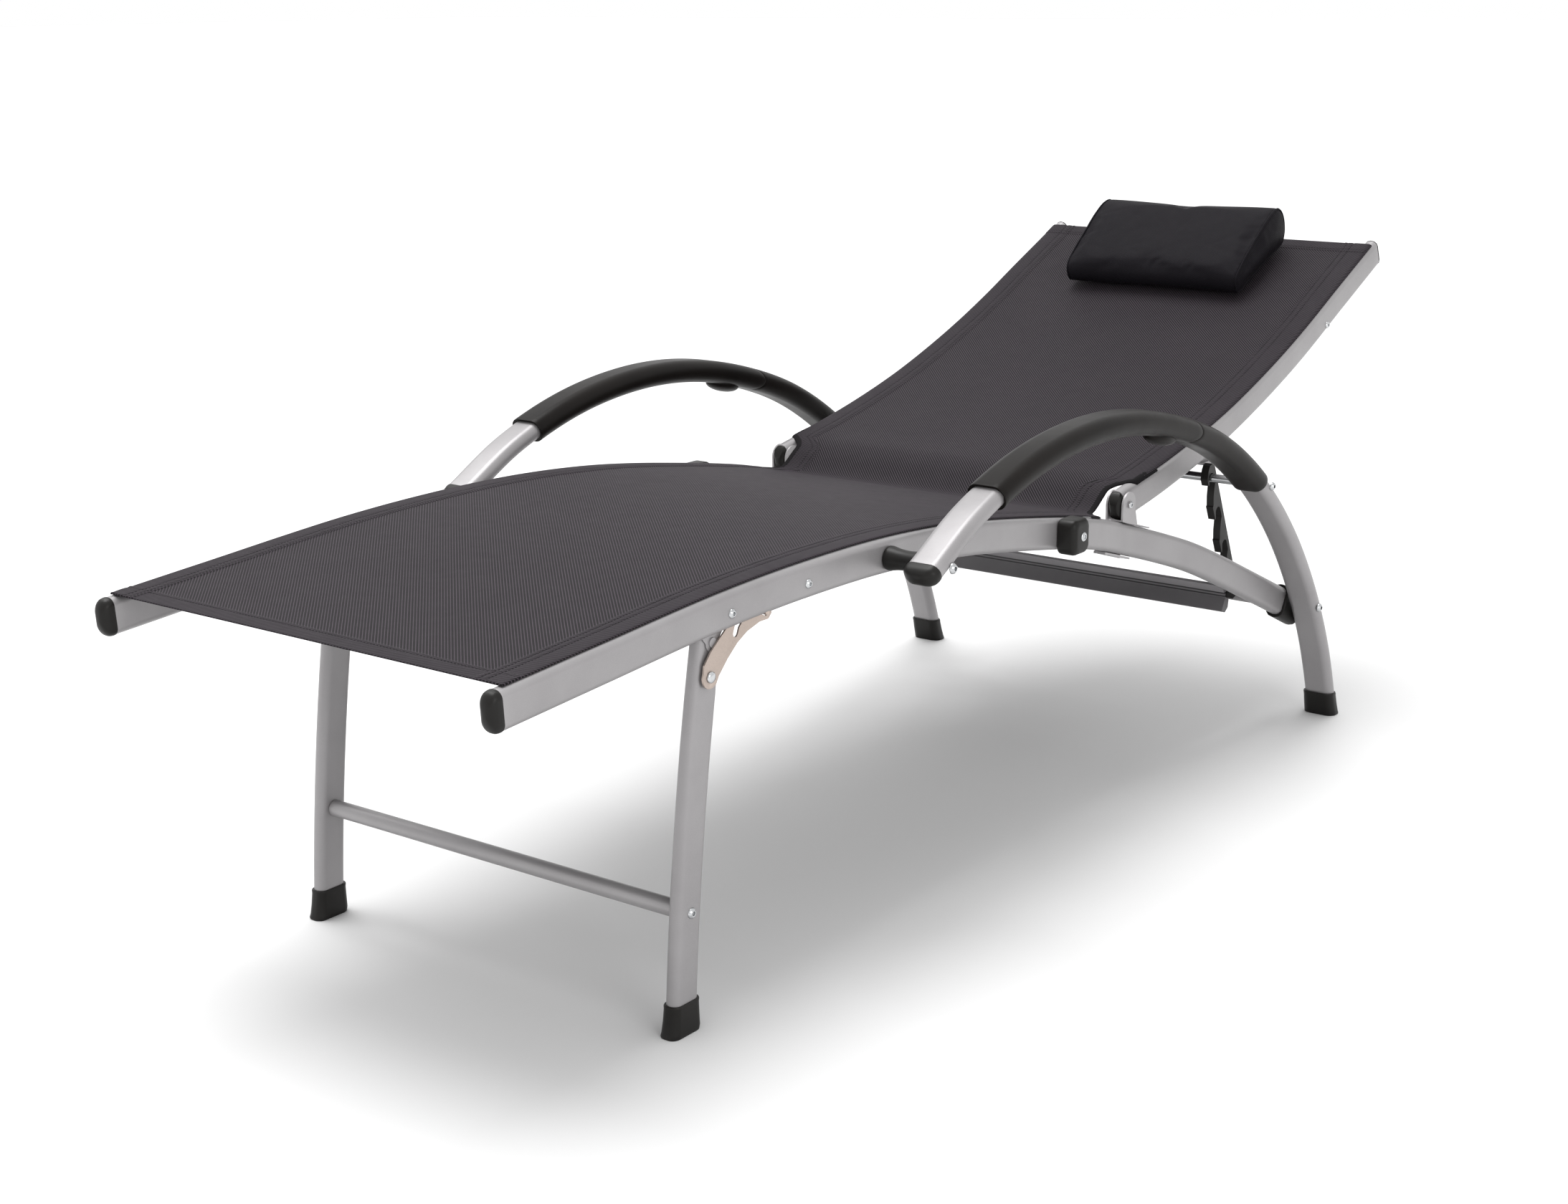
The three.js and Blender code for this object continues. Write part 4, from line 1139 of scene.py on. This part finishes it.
# ---- Floor, light and camera ----
FLOOR_HALF = 60.0
FOCAL_PIXELS, PHOTO_WIDTH, SENSOR = 3193, 2187, 36
YAW, PITCH, ROLL = math.radians(37.08), math.radians(15.01), math.radians(-0.42)
EYE = (1556.7, -2174.6, 979.8)

floor_material, _, floor_bsdf = shader("floor_paper")
floor_bsdf.inputs["Base Color"].default_value = (0.7, 0.7, 0.7, 1)
floor_bsdf.inputs["Roughness"].default_value = 0.9
corners = [(x * FLOOR_HALF, y * FLOOR_HALF, 0.0) for x, y in ((-1, -1), (1, -1), (1, 1), (-1, 1))]
floor = add_object("floor", corners, [(0, 1, 2, 3)], material=floor_material)


def area_light(name, place, target, width, height, power):
    data = bpy.data.lights.new(name, "AREA")
    data.shape = "RECTANGLE"
    data.size, data.size_y = width, height
    data.energy = power
    light = bpy.data.objects.new(name, data)
    light.location = place
    light.rotation_euler = (Vector(target) - Vector(place)).to_track_quat("-Z", "Y").to_euler()
    bpy.context.scene.collection.objects.link(light)


area_light("key", (-2.4, -0.4, 3.4), (0, 0, 0.3), 2.2, 2.0, 34)
area_light("fill", (3.4, -1.6, 1.6), (0, 0, 0.3), 1.6, 1.6, 24)
sun_data = bpy.data.lights.new("sun", "SUN")
sun_data.energy = 2.3
sun_data.angle = math.radians(36)
sun = bpy.data.objects.new("sun", sun_data)
sun.rotation_euler = (math.radians(-3), math.radians(-12), 0)
bpy.context.scene.collection.objects.link(sun)
world = bpy.data.worlds.new("studio")
world.use_nodes = True
background = world.node_tree.nodes["Background"]
background.inputs["Color"].default_value = (1, 1, 1, 1)
background.inputs["Strength"].default_value = 1.0
bpy.context.scene.world = world
bpy.context.scene.view_settings.view_transform = "Standard"

forward = Vector((-math.sin(YAW) * math.cos(PITCH), math.cos(YAW) * math.cos(PITCH), -math.sin(PITCH)))
level = Vector((math.cos(YAW), math.sin(YAW), 0))
above = level.cross(forward)
right = math.cos(ROLL) * level + math.sin(ROLL) * above
up = -math.sin(ROLL) * level + math.cos(ROLL) * above
camera_data = bpy.data.cameras.new("camera")
camera_data.sensor_width = SENSOR
camera_data.lens = FOCAL_PIXELS / PHOTO_WIDTH * SENSOR
camera = bpy.data.objects.new("camera", camera_data)
matrix = Matrix((right, up, -forward)).transposed().to_4x4()
matrix.translation = metres(*EYE)
camera.matrix_world = matrix
bpy.context.scene.collection.objects.link(camera)
bpy.context.scene.camera = camera
